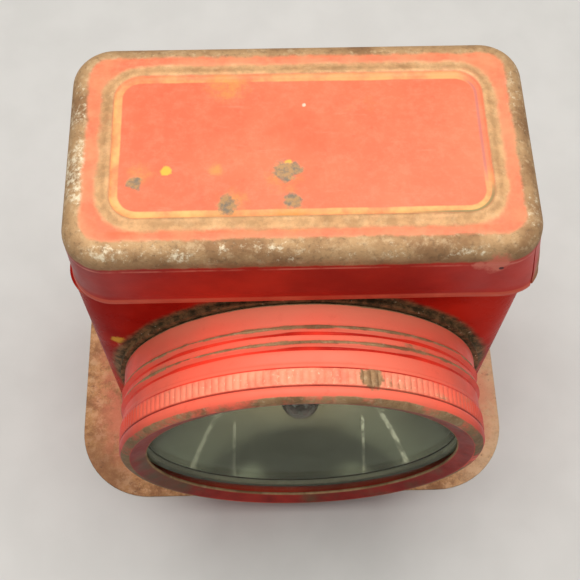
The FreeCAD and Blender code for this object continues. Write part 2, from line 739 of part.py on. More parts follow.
def make_link_strip():
    """Flat brass strip from one cell's middle post to the other cell's edge post."""
    strip = box("strip_bar", "cell_x + (cell_x - cell_r + 10)", "8", "0.6",
                "-cell_x", "cell_y - 4", "cell_top + 0.6")
    left_hole = upright_cylinder("strip_hole_left", "post_r", "4", "-cell_x", "cell_y", "cell_top - 1")
    right_x = "cell_x - (cell_r - 10)"
    right_hole = upright_cylinder("strip_hole_right", "post_r", "4", right_x, "cell_y", "cell_top - 1")
    left_end = upright_cylinder("strip_end_left", "4", "0.6", "-cell_x", "cell_y", "cell_top + 0.6")
    right_end = upright_cylinder("strip_end_right", "4", "0.6", right_x, "cell_y", "cell_top + 0.6")
    solid = fuse("strip_solid", [strip, left_end, right_end])
    keep(cut("link_strip", cut("strip_one_hole", solid, left_hole), right_hole), "link_strip")


# ---------------------------------------------------------------- leads

TAG_TOP = "cell_top + 1.2"


def make_lead_tags():
    """Brass rings under two nuts, each with a tail that its lead is soldered to."""
    pieces = []
    spots = (("front", "cell_x", -1), ("back", "-cell_x - cell_r + 10", 1))
    for word, x_words, way in spots:
        ring = upright_cylinder("tag_ring_" + word, "4.6", "0.6", x_words, "cell_y", "cell_top + 0.6")
        tail_y = "cell_y" if way > 0 else "cell_y - 11"
        tail = box("tag_tail_" + word, "3", "11", "0.6", x_words + " - 1.5", tail_y, "cell_top + 0.6")
        hole = upright_cylinder("tag_hole_" + word, "post_r", "4", x_words, "cell_y", "cell_top - 1")
        pieces.append(cut("tag_" + word, fuse("tag_solid_" + word, [ring, tail]), hole))
    group("lead_tags", pieces)


def lead(label, points, bend):
    node = doc.addObject("Part::Feature", label)
    node.Shape = pipe_through(points, value("wire_r"), bend)
    return keep(node, label)


def make_leads():
    """One lead from a cell down to the bulb socket, one from the other cell to the switch."""
    level = value(TAG_TOP + " + wire_r")
    behind_socket = -value("socket_back - 2.6 - wire_r - 0.05")
    lead("lead_bulb", [
        V(value("cell_x"), value("cell_y - 6.5"), level),
        V(value("cell_x"), behind_socket, level),
        V(0, behind_socket, level),
        V(0, behind_socket, value("axis_z - 1")),
    ], 8)
    negative_x = value("-cell_x - cell_r + 10")
    before_switch = value("case_d / 2 - 11")
    lead("lead_switch", [
        V(negative_x, value("cell_y + 6.5"), level),
        V(negative_x, before_switch, level),
        V(0, before_switch, level),
        V(0, before_switch, value(LEAF_RIVET_Z)),
        V(0, value("case_d / 2 - 6.25"), value(LEAF_RIVET_Z)),
    ], 4)


# ---------------------------------------------------------------- switch

SLOT_W = "4"
SLOT_TALL = "(switch_travel + 6)"
SLOT_CORNER = "1.9"
SWITCH_RIVET_R = 1.2
WALL_INSIDE = "(case_d / 2 - sheet)"
FIBRE_BACK = "(case_d / 2 - 3.6)"
FIBRE_FRONT = "(case_d / 2 - 4.8)"
LEAF_RIVET_Z = "(switch_z + 15)"
SWITCH_OFF_Z = "(switch_z - switch_travel / 2)"


def switch_rivet_height(side):
    return "switch_z + %d * (switch_tall / 2 - 5)" % side


def add_switch_rivet_holes(sketch):
    for number, side in enumerate((-1, 1)):
        add_circle(sketch, "c%d" % number, "0", switch_rivet_height(side), SWITCH_RIVET_R)


def level_rod(name, radius, length, back, height):
    """Round rod lying along Y, from y = back towards the front."""
    rod = upright_cylinder(name, radius, length, "0", back, height)
    rod.Placement.Rotation = FreeCAD.Rotation(V(1, 0, 0), 90)
    return rod


def make_switch_plate():
    body = new_body("switch_plate")
    outline = new_sketch(body, "outline", "XZ_Plane", "-case_d / 2 - 0.6")
    add_rounded_rectangle(outline, "p", "switch_w", "switch_tall", "4", "0", "switch_z")
    add_rounded_rectangle(outline, "q", SLOT_W, SLOT_TALL, SLOT_CORNER, "0", "switch_z")
    add_switch_rivet_holes(outline)
    pad(body, "plate", outline, "0.6")


def make_switch_rivets():
    pieces = []
    for number, side in enumerate((-1, 1)):
        height = switch_rivet_height(side)
        shank = level_rod("switch_shank%d" % number, SWITCH_RIVET_R, "6", "case_d / 2 + 0.8", height)
        dome = level_rod("switch_dome%d" % number, "2.4", "0.9", "case_d / 2 + 0.6 + 0.9", height)
        tail = level_rod("switch_tail%d" % number, "2.2", "0.8", FIBRE_FRONT, height)
        pieces.append(fuse("switch_rivet%d" % number, [shank, dome, tail]))
    group("switch_rivets", pieces)


def make_switch_spacers():
    """Short tubes that hold the fibre plate off the case wall."""
    pieces = []
    for number, side in enumerate((-1, 1)):
        height = switch_rivet_height(side)
        length = "%s - %s" % (WALL_INSIDE, FIBRE_BACK)
        tube = level_rod("spacer_tube%d" % number, "2.6", length, WALL_INSIDE, height)
        bore = level_rod("spacer_bore%d" % number, SWITCH_RIVET_R, length + " + 2",
                         WALL_INSIDE + " + 1", height)
        pieces.append(cut("spacer%d" % number, tube, bore))
    group("switch_spacers", pieces)


def make_switch_fibre():
    body = new_body("switch_fibre")
    outline = new_sketch(body, "outline", "XZ_Plane", "-" + FIBRE_BACK)
    add_rounded_rectangle(outline, "p", "switch_w - 2", "switch_tall - 2", "3", "0", "switch_z")
    add_switch_rivet_holes(outline)
    add_circle(outline, "lead", "0", LEAF_RIVET_Z + " - 3", "1")
    pad(body, "plate", outline, "%s - %s" % (FIBRE_BACK, FIBRE_FRONT))


def make_switch_leaf():
    """Brass strip on the fibre with a raised contact and a rivet out to the lead."""
    strip = box("leaf_strip", "5", "0.4", "13", "-2.5", FIBRE_BACK, "switch_z + 1")
    contact = level_rod("leaf_contact", "2", "1", FIBRE_BACK + " + 1.1", "switch_z + switch_travel / 2")
    rivet = level_rod("leaf_rivet", "1", "2.2", FIBRE_BACK + " + 0.3", LEAF_RIVET_Z + " - 3")
    keep(fuse("switch_leaf", [strip, contact, rivet]), "switch_leaf")


def make_switch_knob():
    """Ribbed thumb piece with a stem through the slot."""
    body = new_body("switch_knob")
    thumb = new_sketch(body, "thumb_outline", "XZ_Plane", "-case_d / 2 - 4.6")
    add_rounded_rectangle(thumb, "p", "9", "9", "2", "0", SWITCH_OFF_Z)
    pad(body, "thumb", thumb, "3.6")
    stem = new_sketch(body, "stem_outline", "XZ_Plane", "-case_d / 2 - 1.2")
    add_rounded_rectangle(stem, "p", "3.4", "5.4", "1.6", "0", SWITCH_OFF_Z)
    pad(body, "stem", stem, "1.2 + 1.3")
    grip = new_sketch(body, "grip_outline", "XZ_Plane", "-case_d / 2 - 4.6")
    for number in (-1, 0, 1):
        foot = "%s + %s" % (SWITCH_OFF_Z, 2.4 * number - 0.5)
        add_outline(grip, "g%d" % (number + 1), [
            ("-5", foot), ("5", foot), ("5", foot + " + 1"), ("-5", foot + " + 1")])
    pocket(body, "grip", grip, "0.8", True)


def make_switch_shoe():
    box_shape = box("switch_shoe", "8", "0.8", "8", "-4", "case_d / 2 - 2.1", SWITCH_OFF_Z + " - 4")
    keep(box_shape, "switch_shoe")


def write_parts():
    """Check every object, then write each sub-part to its own file."""
    doc.recompute()
    os.makedirs("parts", exist_ok=True)
    for item in doc.Objects:
        if "Invalid" in item.State or "Error" in item.State:
            raise ValueError("%s does not build" % item.Label)
    for node in NODES:
        if node.Shape.isNull() or not node.Shape.isValid():
            raise ValueError("%s has a bad shape" % node.Label)
        node.Shape.exportStep("parts/%s.step" % node.Label)


make_base_plate()
make_base_rivets()
make_housing()
make_lid()
make_lid_card()
make_neck()
make_bezel()
make_lens_glass()
make_lens_gasket()
make_reflector()
make_socket_shell()
make_socket_disc()
make_socket_rivet()
make_bulb_cap()
make_bulb_globe()
make_bulb_stem()
make_filament()
make_bulb_tip()
make_cells()
make_terminals()
make_link_strip()
make_lead_tags()
make_leads()
make_switch_plate()
make_switch_rivets()
make_switch_spacers()
make_switch_fibre()
make_switch_leaf()
make_switch_knob()
make_switch_shoe()
write_parts()
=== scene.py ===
import json
import math

import bpy
from mathutils import Matrix, Vector

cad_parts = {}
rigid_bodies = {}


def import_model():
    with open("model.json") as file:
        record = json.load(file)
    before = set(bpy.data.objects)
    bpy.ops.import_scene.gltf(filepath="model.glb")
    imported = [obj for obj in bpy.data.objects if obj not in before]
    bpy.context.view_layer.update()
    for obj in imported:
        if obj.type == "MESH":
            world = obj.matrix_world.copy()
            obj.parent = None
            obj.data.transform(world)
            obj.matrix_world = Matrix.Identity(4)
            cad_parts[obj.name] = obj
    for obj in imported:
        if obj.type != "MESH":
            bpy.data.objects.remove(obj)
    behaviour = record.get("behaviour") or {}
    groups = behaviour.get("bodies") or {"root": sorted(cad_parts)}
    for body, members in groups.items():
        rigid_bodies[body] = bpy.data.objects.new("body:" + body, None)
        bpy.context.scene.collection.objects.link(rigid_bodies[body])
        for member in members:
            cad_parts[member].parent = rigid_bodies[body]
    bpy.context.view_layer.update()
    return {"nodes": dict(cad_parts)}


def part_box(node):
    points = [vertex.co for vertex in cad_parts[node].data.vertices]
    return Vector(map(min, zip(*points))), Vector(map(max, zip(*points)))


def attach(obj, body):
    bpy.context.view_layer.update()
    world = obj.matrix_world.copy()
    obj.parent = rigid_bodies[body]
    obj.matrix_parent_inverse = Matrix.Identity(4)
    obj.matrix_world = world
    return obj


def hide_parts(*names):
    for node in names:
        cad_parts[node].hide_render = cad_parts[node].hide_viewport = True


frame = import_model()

# A worn red-enamelled battery lamp for a darkroom.  Metres, in the frame's axes:
# Z up, the glass faces -Y.  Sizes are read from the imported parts; the small
# sizes of rolled edges, ridges and wear are named here in millimetres.

MM = 0.001

# ---------- sizes from the frame

lid_low, lid_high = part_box("lid")
case_low, case_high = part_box("housing")
plate_low, plate_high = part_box("base_plate")
bezel_low, bezel_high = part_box("bezel")
_, dish_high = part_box("reflector")

LINE_RISE = 0.5 * MM
SHEET = 0.8 * MM
LID_TOP = lid_high.z - LINE_RISE
LID_CORNER = 12.7 * MM
LID_FLARE = 1.2 * MM
LID_TOP_HALF_W = lid_high.x - LID_FLARE
LID_TOP_HALF_D = lid_high.y - LID_FLARE
LID_ROUND = 5.2 * MM
PANEL_HALF_W = 56 * MM
PANEL_HALF_D = 25 * MM
PANEL_CORNER = 8 * MM
BEAD = 0.6 * MM
CASE_HALF_W = case_high.x - BEAD
CASE_BACK = case_high.y - BEAD
CASE_CORNER = 11.4 * MM
AXIS_Z = (bezel_low.z + bezel_high.z) / 2
BEZEL_R = (bezel_high.x - bezel_low.x) / 2
BEZEL_BACK = -bezel_high.y
THREAD_PITCH = 5 * MM
THREAD_START = BEZEL_BACK + 7.15 * MM
THREAD_TURNS = 2
KNURLS = 168


# ---------- mesh helpers

scene_objects = bpy.context.scene.collection.objects


def mesh_object(name, points, faces):
    """Make a mesh object and put it in the scene."""
    mesh = bpy.data.meshes.new(name)
    mesh.from_pydata([tuple(point) for point in points], [], faces)
    thing = bpy.data.objects.new(name, mesh)
    scene_objects.link(thing)
    return thing


def new_piece(name, points, faces, body, material, replaced=(), sharp_deg=38):
    """Make a smooth-shaded mesh that rides on a body and stands for CAD nodes."""
    piece = mesh_object(name, points, faces)
    piece.data.validate()
    piece.data.update()
    piece.data.shade_smooth()
    piece.data.set_sharp_from_angle(angle=math.radians(sharp_deg))
    piece.data.materials.append(material)
    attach(piece, body)
    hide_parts(*replaced)
    return piece


CORNER_STEPS = 14
LONG_STEPS = 16
SHORT_STEPS = 8


def rounded_loop(half_w, half_d, corner, z):
    """Points round a rounded rectangle, anticlockwise seen from above, same count every time."""
    corner = min(corner, half_w - 1e-6, half_d - 1e-6)
    loop = []
    quarters = (
        (half_w - corner, corner - half_d, -90, SHORT_STEPS),
        (half_w - corner, half_d - corner, 0, LONG_STEPS),
        (corner - half_w, half_d - corner, 90, SHORT_STEPS),
        (corner - half_w, corner - half_d, 180, LONG_STEPS),
    )
    for number, (x, y, start, side_steps) in enumerate(quarters):
        for step in range(CORNER_STEPS + 1):
            turn = math.radians(start + 90 * step / CORNER_STEPS)
            loop.append(Vector((x + corner * math.cos(turn), y + corner * math.sin(turn), z)))
        next_x, next_y, next_start, _ = quarters[(number + 1) % 4]
        turn = math.radians(next_start)
        target = Vector((next_x + corner * math.cos(turn), next_y + corner * math.sin(turn), z))
        here = loop[-1]
        for step in range(1, side_steps):
            loop.append(here.lerp(target, step / side_steps))
    return loop


def skin_loops(loops, cap_first=True, cap_last=True):
    """Join loops of equal count into a skin, with a flat face at either end if asked."""
    count = len(loops[0])
    points = [point for loop in loops for point in loop]
    faces = []
    for ring in range(len(loops) - 1):
        for step in range(count):
            after = (step + 1) % count
            low = ring * count
            faces.append((low + step, low + after, low + count + after, low + count + step))
    if cap_first:
        faces.append(tuple(reversed(range(count))))
    if cap_last:
        faces.append(tuple(range((len(loops) - 1) * count, len(loops) * count)))
    return points, faces


def turned(name, profile, steps, body, material, replaced=(), ripple=None, sharp_deg=38):
    """Turn a closed outline of (forward, radius) about the lens axis; ripple adds to the radius."""
    points = []
    for step in range(steps):
        turn = 2 * math.pi * step / steps
        for forward, radius in profile:
            reach = radius + (ripple(turn, forward, radius) if ripple else 0)
            points.append(Vector((reach * math.cos(turn), -forward, AXIS_Z + reach * math.sin(turn))))
    count = len(profile)
    faces = []
    for step in range(steps):
        here = step * count
        there = (step + 1) % steps * count
        for corner in range(count):
            after = (corner + 1) % count
            faces.append((here + corner, here + after, there + after, there + corner))
    return new_piece(name, points, faces, body, material, replaced, sharp_deg)


def smooth_step(low, high, number):
    """0 below low, 1 above high, and a smooth rise between them."""
    part = min(max((number - low) / (high - low), 0), 1)
    return part * part * (3 - 2 * part)


# ---------- material helper

class Look:
    """A node material being wired.  Each call adds a node and returns its output socket."""

    def __init__(self, name):
        self.material = bpy.data.materials.new(name)
        self.material.use_nodes = True
        self.nodes = self.material.node_tree.nodes
        self.links = self.material.node_tree.links
        self.surface = self.nodes["Principled BSDF"]
        self.place = self.nodes.new("ShaderNodeTexCoord").outputs["Object"]

    def wire(self, socket, source):
        """Link a socket, or set it where the source is a plain number or colour."""
        if isinstance(source, bpy.types.NodeSocket):
            self.links.new(source, socket)
        elif hasattr(source, "__len__") and len(source) == 3 and socket.type == "RGBA":
            socket.default_value = (*source, 1)
        else:
            socket.default_value = source

    def math(self, operation, first, second=0, third=0, clamp=False):
        node = self.nodes.new("ShaderNodeMath")
        node.operation = operation
        node.use_clamp = clamp
        self.wire(node.inputs[0], first)
        self.wire(node.inputs[1], second)
        if len(node.inputs) > 2:
            self.wire(node.inputs[2], third)
        return node.outputs[0]

    def add(self, first, second):
        return self.math("ADD", first, second)

    def minus(self, first, second):
        return self.math("SUBTRACT", first, second)

    def scaled(self, value, factor, base):
        """A value times a factor, plus a base."""
        return self.math("MULTIPLY_ADD", value, factor, base)

    def axes(self):
        """Across, back and up of the point being shaded."""
        node = self.nodes.new("ShaderNodeSeparateXYZ")
        self.wire(node.inputs[0], self.place)
        return node.outputs

    def spread(self, value, low, high, out_low=0, out_high=1):
        """Smooth ramp of a value from low..high to out_low..out_high."""
        node = self.nodes.new("ShaderNodeMapRange")
        node.interpolation_type = "SMOOTHSTEP"
        self.wire(node.inputs["Value"], value)
        self.wire(node.inputs["From Min"], low)
        self.wire(node.inputs["From Max"], high)
        self.wire(node.inputs["To Min"], out_low)
        self.wire(node.inputs["To Max"], out_high)
        return node.outputs["Result"]

    def ramp(self, value, low, high, *outs, base=0):
        """Smooth ramp between two places, given in millimetres from a base."""
        return self.spread(value, base + low * MM, base + high * MM, *outs)

    def band(self, value, *ends, base=0):
        """Mask that rises over the first two places and falls over the last two, in the same way."""
        start, full, fade, end = ends
        return self.both(self.ramp(value, start, full, base=base), self.ramp(value, end, fade, base=base))

    def noise(self, scale, detail=5, rough=0.6, shift=(0, 0, 0), stretch=(1, 1, 1)):
        """Cloudy 0..1 value; scale is in lumps per metre, stretch squeezes an axis."""
        mapping = self.nodes.new("ShaderNodeMapping")
        self.wire(mapping.inputs["Vector"], self.place)
        mapping.inputs["Location"].default_value = shift
        mapping.inputs["Scale"].default_value = stretch
        node = self.nodes.new("ShaderNodeTexNoise")
        self.wire(node.inputs["Vector"], mapping.outputs[0])
        node.inputs["Scale"].default_value = scale
        node.inputs["Detail"].default_value = detail
        node.inputs["Roughness"].default_value = rough
        return node.outputs["Fac"]

    def cloudy(self, grain, span, shift=(0, 0, 0), stretch=(1, 1, 1)):
        """Noise of a (scale, detail, roughness) grain, spread over (low, high, out_low, out_high)."""
        return self.spread(self.noise(*grain, shift=shift, stretch=stretch), *span)

    def attribute(self, name):
        """A value stored on the mesh's points."""
        node = self.nodes.new("ShaderNodeAttribute")
        node.attribute_name = name
        return node.outputs["Fac"]

    def most(self, *masks):
        """Greatest of some masks: where any of them is."""
        result = masks[0]
        for mask in masks[1:]:
            result = self.math("MAXIMUM", result, mask)
        return result

    def both(self, *masks):
        """Product of some masks: where all of them are."""
        result = masks[0]
        for mask in masks[1:]:
            result = self.math("MULTIPLY", result, mask)
        return result

    def tint(self, colour, tone, *masks):
        """Lay a tone over a colour where all the masks are."""
        node = self.nodes.new("ShaderNodeMix")
        node.data_type = "RGBA"
        self.wire(node.inputs[0], self.both(*masks))
        self.wire(node.inputs[6], colour)
        self.wire(node.inputs[7], tone)
        return node.outputs[2]

    def opposite(self, mask):
        return self.minus(1, mask)

    def length(self, across, up):
        """Length of a step across and up."""
        return self.math("SQRT", self.add(self.both(across, across), self.both(up, up)))

    def near(self, centre, radius_mm, soft):
        """1 at a point in object space, falling to 0 at a radius in millimetres; its edge is ragged."""
        radius = radius_mm * MM
        node = self.nodes.new("ShaderNodeVectorMath")
        node.operation = "DISTANCE"
        self.wire(node.inputs[0], self.place)
        node.inputs[1].default_value = centre
        wobble = self.noise(420, 4, 0.6, (centre[0] * 30, centre[1] * 30, 0))
        reach = self.scaled(wobble, radius * 1.3, node.outputs["Value"])
        return self.spread(reach, radius * (1 - soft) + radius * 0.65, radius + radius * 0.65, 1, 0)

    def outside_rectangle(self, half_w, half_d, corner):
        """Distance outside a rounded rectangle in plan, negative inside it."""
        x, y, _ = self.axes()
        across = self.minus(self.math("ABSOLUTE", x), half_w - corner)
        along = self.minus(self.math("ABSOLUTE", y), half_d - corner)
        beyond = self.length(self.most(across, 0), self.most(along, 0))
        within = self.math("MINIMUM", self.math("MAXIMUM", across, along), 0)
        return self.minus(self.add(beyond, within), corner)

    def bump(self, height, distance, strength=1):
        node = self.nodes.new("ShaderNodeBump")
        node.inputs["Strength"].default_value = strength
        node.inputs["Distance"].default_value = distance
        self.wire(node.inputs["Height"], height)
        return node.outputs["Normal"]

    def finish(self, colour, roughness, metallic=0, normal=None, **settings):
        """Wire the surface; settings are its other inputs, named in small letters."""
        self.wire(self.surface.inputs["Base Color"], colour)
        self.wire(self.surface.inputs["Roughness"], roughness)
        self.wire(self.surface.inputs["Metallic"], metallic)
        if normal is not None:
            self.wire(self.surface.inputs["Normal"], normal)
        for socket, number in settings.items():
            self.surface.inputs[socket.replace("_", " ").title().replace("Ior", "IOR")].default_value = number
        return self.material


# ---------- enamel and wear

ENAMEL = (0.62, 0.026, 0.012)
ENAMEL_DEEP = (0.34, 0.008, 0.005)
ENAMEL_FADED = (0.84, 0.235, 0.115)
STEEL_TAN = (0.49, 0.305, 0.155)
STEEL_BROWN = (0.3, 0.165, 0.08)
STEEL_DARK = (0.13, 0.085, 0.05)
STEEL_PALE = (0.74, 0.55, 0.34)
STEEL_BRIGHT = (0.86, 0.76, 0.56)
RUST = (0.62, 0.23, 0.05)
RUST_STAIN = (0.72, 0.3, 0.08)
ORANGE_SPOT = (0.88, 0.45, 0.06)
GRIME_AND_SHADE = (0.085, 0.06, 0.032)
PIT_BROWN = (0.46, 0.27, 0.13)
PIT_GREY = (0.24, 0.19, 0.14)
CHIP_DARK = (0.1, 0.008, 0.008)

LID_PAINTED_SHEEN = (0.9, 0.26, 0.14)
LID_GRAIN = (0.92, 0.32, 0.19)
LID_BLUSH = (0.8, 0.125, 0.055)
LID_RUBBED = (0.96, 0.46, 0.3)
LID_FLECK = (0.85, 0.66, 0.52)
STRIPE_YELLOW = (0.84, 0.48, 0.17)
STRIPE_OCHRE = (0.68, 0.34, 0.13)
STRIPE_LILAC = (0.42, 0.16, 0.17)
STRIPE_PAINTED_SHADE = (0.2, 0.21, 0.11)
LINE_TAN = (0.8, 0.46, 0.22)
LINE_BROWN = (0.56, 0.32, 0.15)
OUTER_BAND = (0.66, 0.36, 0.17)
HEM_RED = (0.66, 0.115, 0.06)
SKIRT_PAINTED_HIGHLIGHT = (0.74, 0.2, 0.14)
SCUFF_PALE = (0.76, 0.21, 0.14)

RING_RED = (0.9, 0.055, 0.028)
RING_LIT_PINK = (0.97, 0.235, 0.15)
RING_BACK_LIT = (0.9, 0.28, 0.17)
RING_DIRT_AND_SHADE = (0.17, 0.01, 0.008)
KNURL_CHALK = (0.9, 0.36, 0.22)
KNURL_TIP = (0.95, 0.62, 0.42)
BEAD_PAINTED_HIGHLIGHT = (0.62, 0.15, 0.09)
CASE_SPOT = (0.75, 0.42, 0.05)

PLATE_BROWN = (0.62, 0.33, 0.135)
PLATE_DARK = (0.38, 0.18, 0.078)
PLATE_TAN = (0.74, 0.47, 0.26)
PLATE_PALE = (0.8, 0.5, 0.29)
PLATE_SHADOW = (0.26, 0.11, 0.045)
PLATE_RED = (0.76, 0.24, 0.14)


def enamel_colour(look, faded, fresh=ENAMEL, old=ENAMEL_FADED):
    """Red enamel that clouds between its deep and its faded tone; faded is a 0..1 mask, and on the ring it
    carries painted light from above.
    """
    clouds = look.noise(22, 4, 0.55)
    red = look.tint(fresh, ENAMEL_DEEP, look.spread(clouds, 0.35, 0.68))
    red = look.tint(red, old, faded, look.spread(clouds, 0.3, 0.75, 0.65, 1))
    return look.tint(red, ENAMEL_DEEP, look.cloudy((260, 5, 0.65), (0.55, 0.85, 0, 0.25)))


def worn_steel_colour(look, fleck_zone=0.5):
    """Tan bare steel with soft brown patches and clustered bright flecks; fleck_zone says where."""
    brown = look.cloudy((85, 4, 0.55), (0.4, 0.68), (0.3, 0.1, 0))
    dark = look.cloudy((620, 5, 0.7), (0.48, 0.74, 0, 0.55), (0, 0.7, 0.2))
    tan = look.tint(STEEL_TAN, STEEL_BROWN, brown)
    tan = look.tint(tan, STEEL_DARK, dark)
    clusters = look.cloudy((60, 3, 0.5), (0.4, 0.6), (0.2, 0.6, 0.8))
    flecks = look.noise(640, 6, 0.72, (0.9, 0, 0.4))
    gathered = look.scaled(look.both(clusters, fleck_zone), 0.22, flecks)
    pale = look.cloudy((300, 5, 0.7), (0.5, 0.7, 0, 0.45), (0.1, 0.8, 0.6))
    tan = look.tint(tan, STEEL_PALE, pale)
    return look.tint(tan, STEEL_BRIGHT, look.spread(gathered, 0.64, 0.86, 0, 0.85))


def ragged(look, value, low, high, amount, scale=190):
    """Threshold a value between low and high millimetres with an uneven edge, amount millimetres deep."""
    noise = look.noise(scale, 6, 0.68, (0.5, 0.5, 0.5))
    moved = look.scaled(noise, amount * MM * 2, look.minus(value, amount * MM))
    return look.ramp(moved, low, high)


def enamel_finish(look, colour, worn, base_rough, gloss_ior):
    """Glossy enamel where worn is 0, rough metal where it is 1, with a step between them."""
    peel = look.noise(700, 3, 0.5)
    pits = look.noise(1500, 5, 0.7, (0.2, 0.2, 0.6))
    gloss = look.cloudy((90, 5, 0.65), (0.35, 0.75, base_rough, base_rough + 0.16), (0.1, 0.8, 0.2))
    rough = look.scaled(worn, 0.26, gloss)
    rise = look.scaled(worn, -0.55, look.both(peel, 0.12))
    rise = look.add(rise, look.both(pits, worn, 0.55))
    return look.finish(colour, rough, look.both(worn, 0.35), look.bump(rise, 0.25 * MM, 0.8), ior=gloss_ior)


# Marks on the lid: place across and back from the middle, and size, in millimetres.
LID_PITS = ((-5, -10, 4.5), (-2, -9, 3), (-3, -20, 3.5), (-22, -21, 4), (-49, -13, 3))
LID_ORANGE_SPOTS = ((-40, -9, 2), (-4, -7, 1.5))
LID_RUST_STAINS = ((-22, 22, 8), (-4, -25, 7), (-5, -12, 6.5), (-25, -9, 3), (-20, -20, 5.5), (-47, -10, 5))

# Weathering over the whole top: tone, noise grain, its span, shift and, for one, its stretch.
LID_WEATHERING = (
    (LID_GRAIN, (330, 6, 0.72), (0.4, 0.7, 0, 0.24), (0.7, 0.2, 0)),
    (LID_BLUSH, (34, 4, 0.6), (0.48, 0.72, 0, 0.5), (0.05, 0.45, 0)),
    (LID_RUBBED, (210, 4, 0.6), (0.6, 0.76, 0, 0.16), (0.6, 0.3, 0), (0.22, 1.2, 1)),
    (RUST, (60, 5, 0.7), (0.62, 0.8, 0, 0.35), (0.15, 0.9, 0)),
)


def spots(look, places, soft):
    """One mask for several round marks on the lid's top."""
    return look.most(*[look.near((x * MM, y * MM, LID_TOP), size, soft) for x, y, size in places])


def lid_top_colour(look, on_top, from_panel):
    """Faded red top with its yellow stripe, rubbed outer band, rust stains and orange spots."""
    x, y, _ = look.axes()
    colour = enamel_colour(look, look.both(on_top, 0.85))
    # Painted highlight: the top is lit paler towards its right and its front.
    lit_side = look.add(look.both(x, 6), look.both(y, -9))
    painted_sheen = look.add(lit_side, look.both(look.noise(24, 3, 0.5, (0.3, 0, 0)), 0.8))
    colour = look.tint(colour, LID_PAINTED_SHEEN, look.spread(painted_sheen, 0.3, 0.95, 0, 0.3), on_top)
    for tone, *pattern in LID_WEATHERING:
        colour = look.tint(colour, tone, look.cloudy(*pattern), on_top)

    wobble = look.noise(48, 5, 0.65, (0.4, 0.2, 0))
    inner = look.scaled(wobble, 0.8 * MM, from_panel)
    stripe = look.both(look.ramp(from_panel, 0, 0.5, 1, 0), look.ramp(inner, -2.1, -1.5))
    faded = look.both(look.ramp(x, 49, 55), look.ramp(y, -19, -8))
    patchy = look.spread(wobble, 0.32, 0.54, 0.25, 0.95)
    faded_share = look.scaled(faded, -0.94, 1)
    back_share = look.scaled(look.ramp(y, 21, 24), -0.35, 1)
    strength = look.both(faded_share, patchy, back_share)
    yellow = look.tint(STRIPE_YELLOW, STRIPE_OCHRE, look.cloudy((130, 4, 0.6), (0.4, 0.7)))
    colour = look.tint(colour, yellow, stripe, strength, on_top)

    lilac = look.band(from_panel, -2.5, -1.9, -1.5, -1)
    colour = look.tint(colour, STRIPE_LILAC, lilac, faded, 0.55)
    # Painted shade: a dark line along the panel's edge at the front right corner.
    front_right = look.both(look.ramp(x, 26, 46), look.ramp(y, -14, -20))
    painted_shade_line = look.band(from_panel, -0.9, -0.4, 0.1, 0.7)
    colour = look.tint(colour, STRIPE_PAINTED_SHADE, painted_shade_line, front_right, 0.75)

    rubbed_band = look.cloudy((95, 5, 0.65), (0.34, 0.68, 0.03, 0.42), (0.35, 0.55, 0))
    colour = look.tint(colour, OUTER_BAND, look.ramp(from_panel, 1.8, 2.6), on_top, rubbed_band)

    blotchy = look.cloudy((170, 5, 0.7), (0.36, 0.6, 0.15, 0.8), (0.6, 0.1, 0))
    colour = look.tint(colour, RUST_STAIN, spots(look, LID_RUST_STAINS, 0.95), blotchy)
    return look.tint(colour, ORANGE_SPOT, spots(look, LID_ORANGE_SPOTS, 0.5))


def skirt_marks(look, colour, height):
    """Lighter hem and a painted highlight line under the bare edge."""
    hem = look.ramp(height, 2.6, 2, base=lid_low.z)
    hem_patchy = look.cloudy((45, 4, 0.6), (0.3, 0.6, 0.35, 0.85), (0.2, 0.9, 0))
    colour = look.tint(colour, HEM_RED, hem, hem_patchy)
    # Painted highlight: a pale line round the skirt a little under the bare rounded edge.
    rubbed_and_highlight = look.band(height, -8.6, -8.2, -7.8, -7.2, base=LID_TOP)
    highlight_patchy = look.cloudy((75, 4, 0.6), (0.38, 0.6), (0.7, 0, 0.3))
    return look.tint(colour, SKIRT_PAINTED_HIGHLIGHT, rubbed_and_highlight, highlight_patchy, 0.7)


def corner_scuff(look, colour):
    """Pale rubbed patch with a small dark chip in it, low on the front's right corner."""
    rubbed_and_highlight = look.near((56 * MM, -LID_TOP_HALF_D, LID_TOP - 7.5 * MM), 5.5, 0.6)
    tail = look.near((51 * MM, -LID_TOP_HALF_D, LID_TOP - 8 * MM), 3, 0.7)
    colour = look.tint(colour, SCUFF_PALE, look.most(rubbed_and_highlight, tail), 0.85)
    chip = look.near((57.5 * MM, -LID_TOP_HALF_D - 0.3 * MM, LID_TOP - 10 * MM), 0.9, 0.4)
    return look.tint(colour, CHIP_DARK, chip)


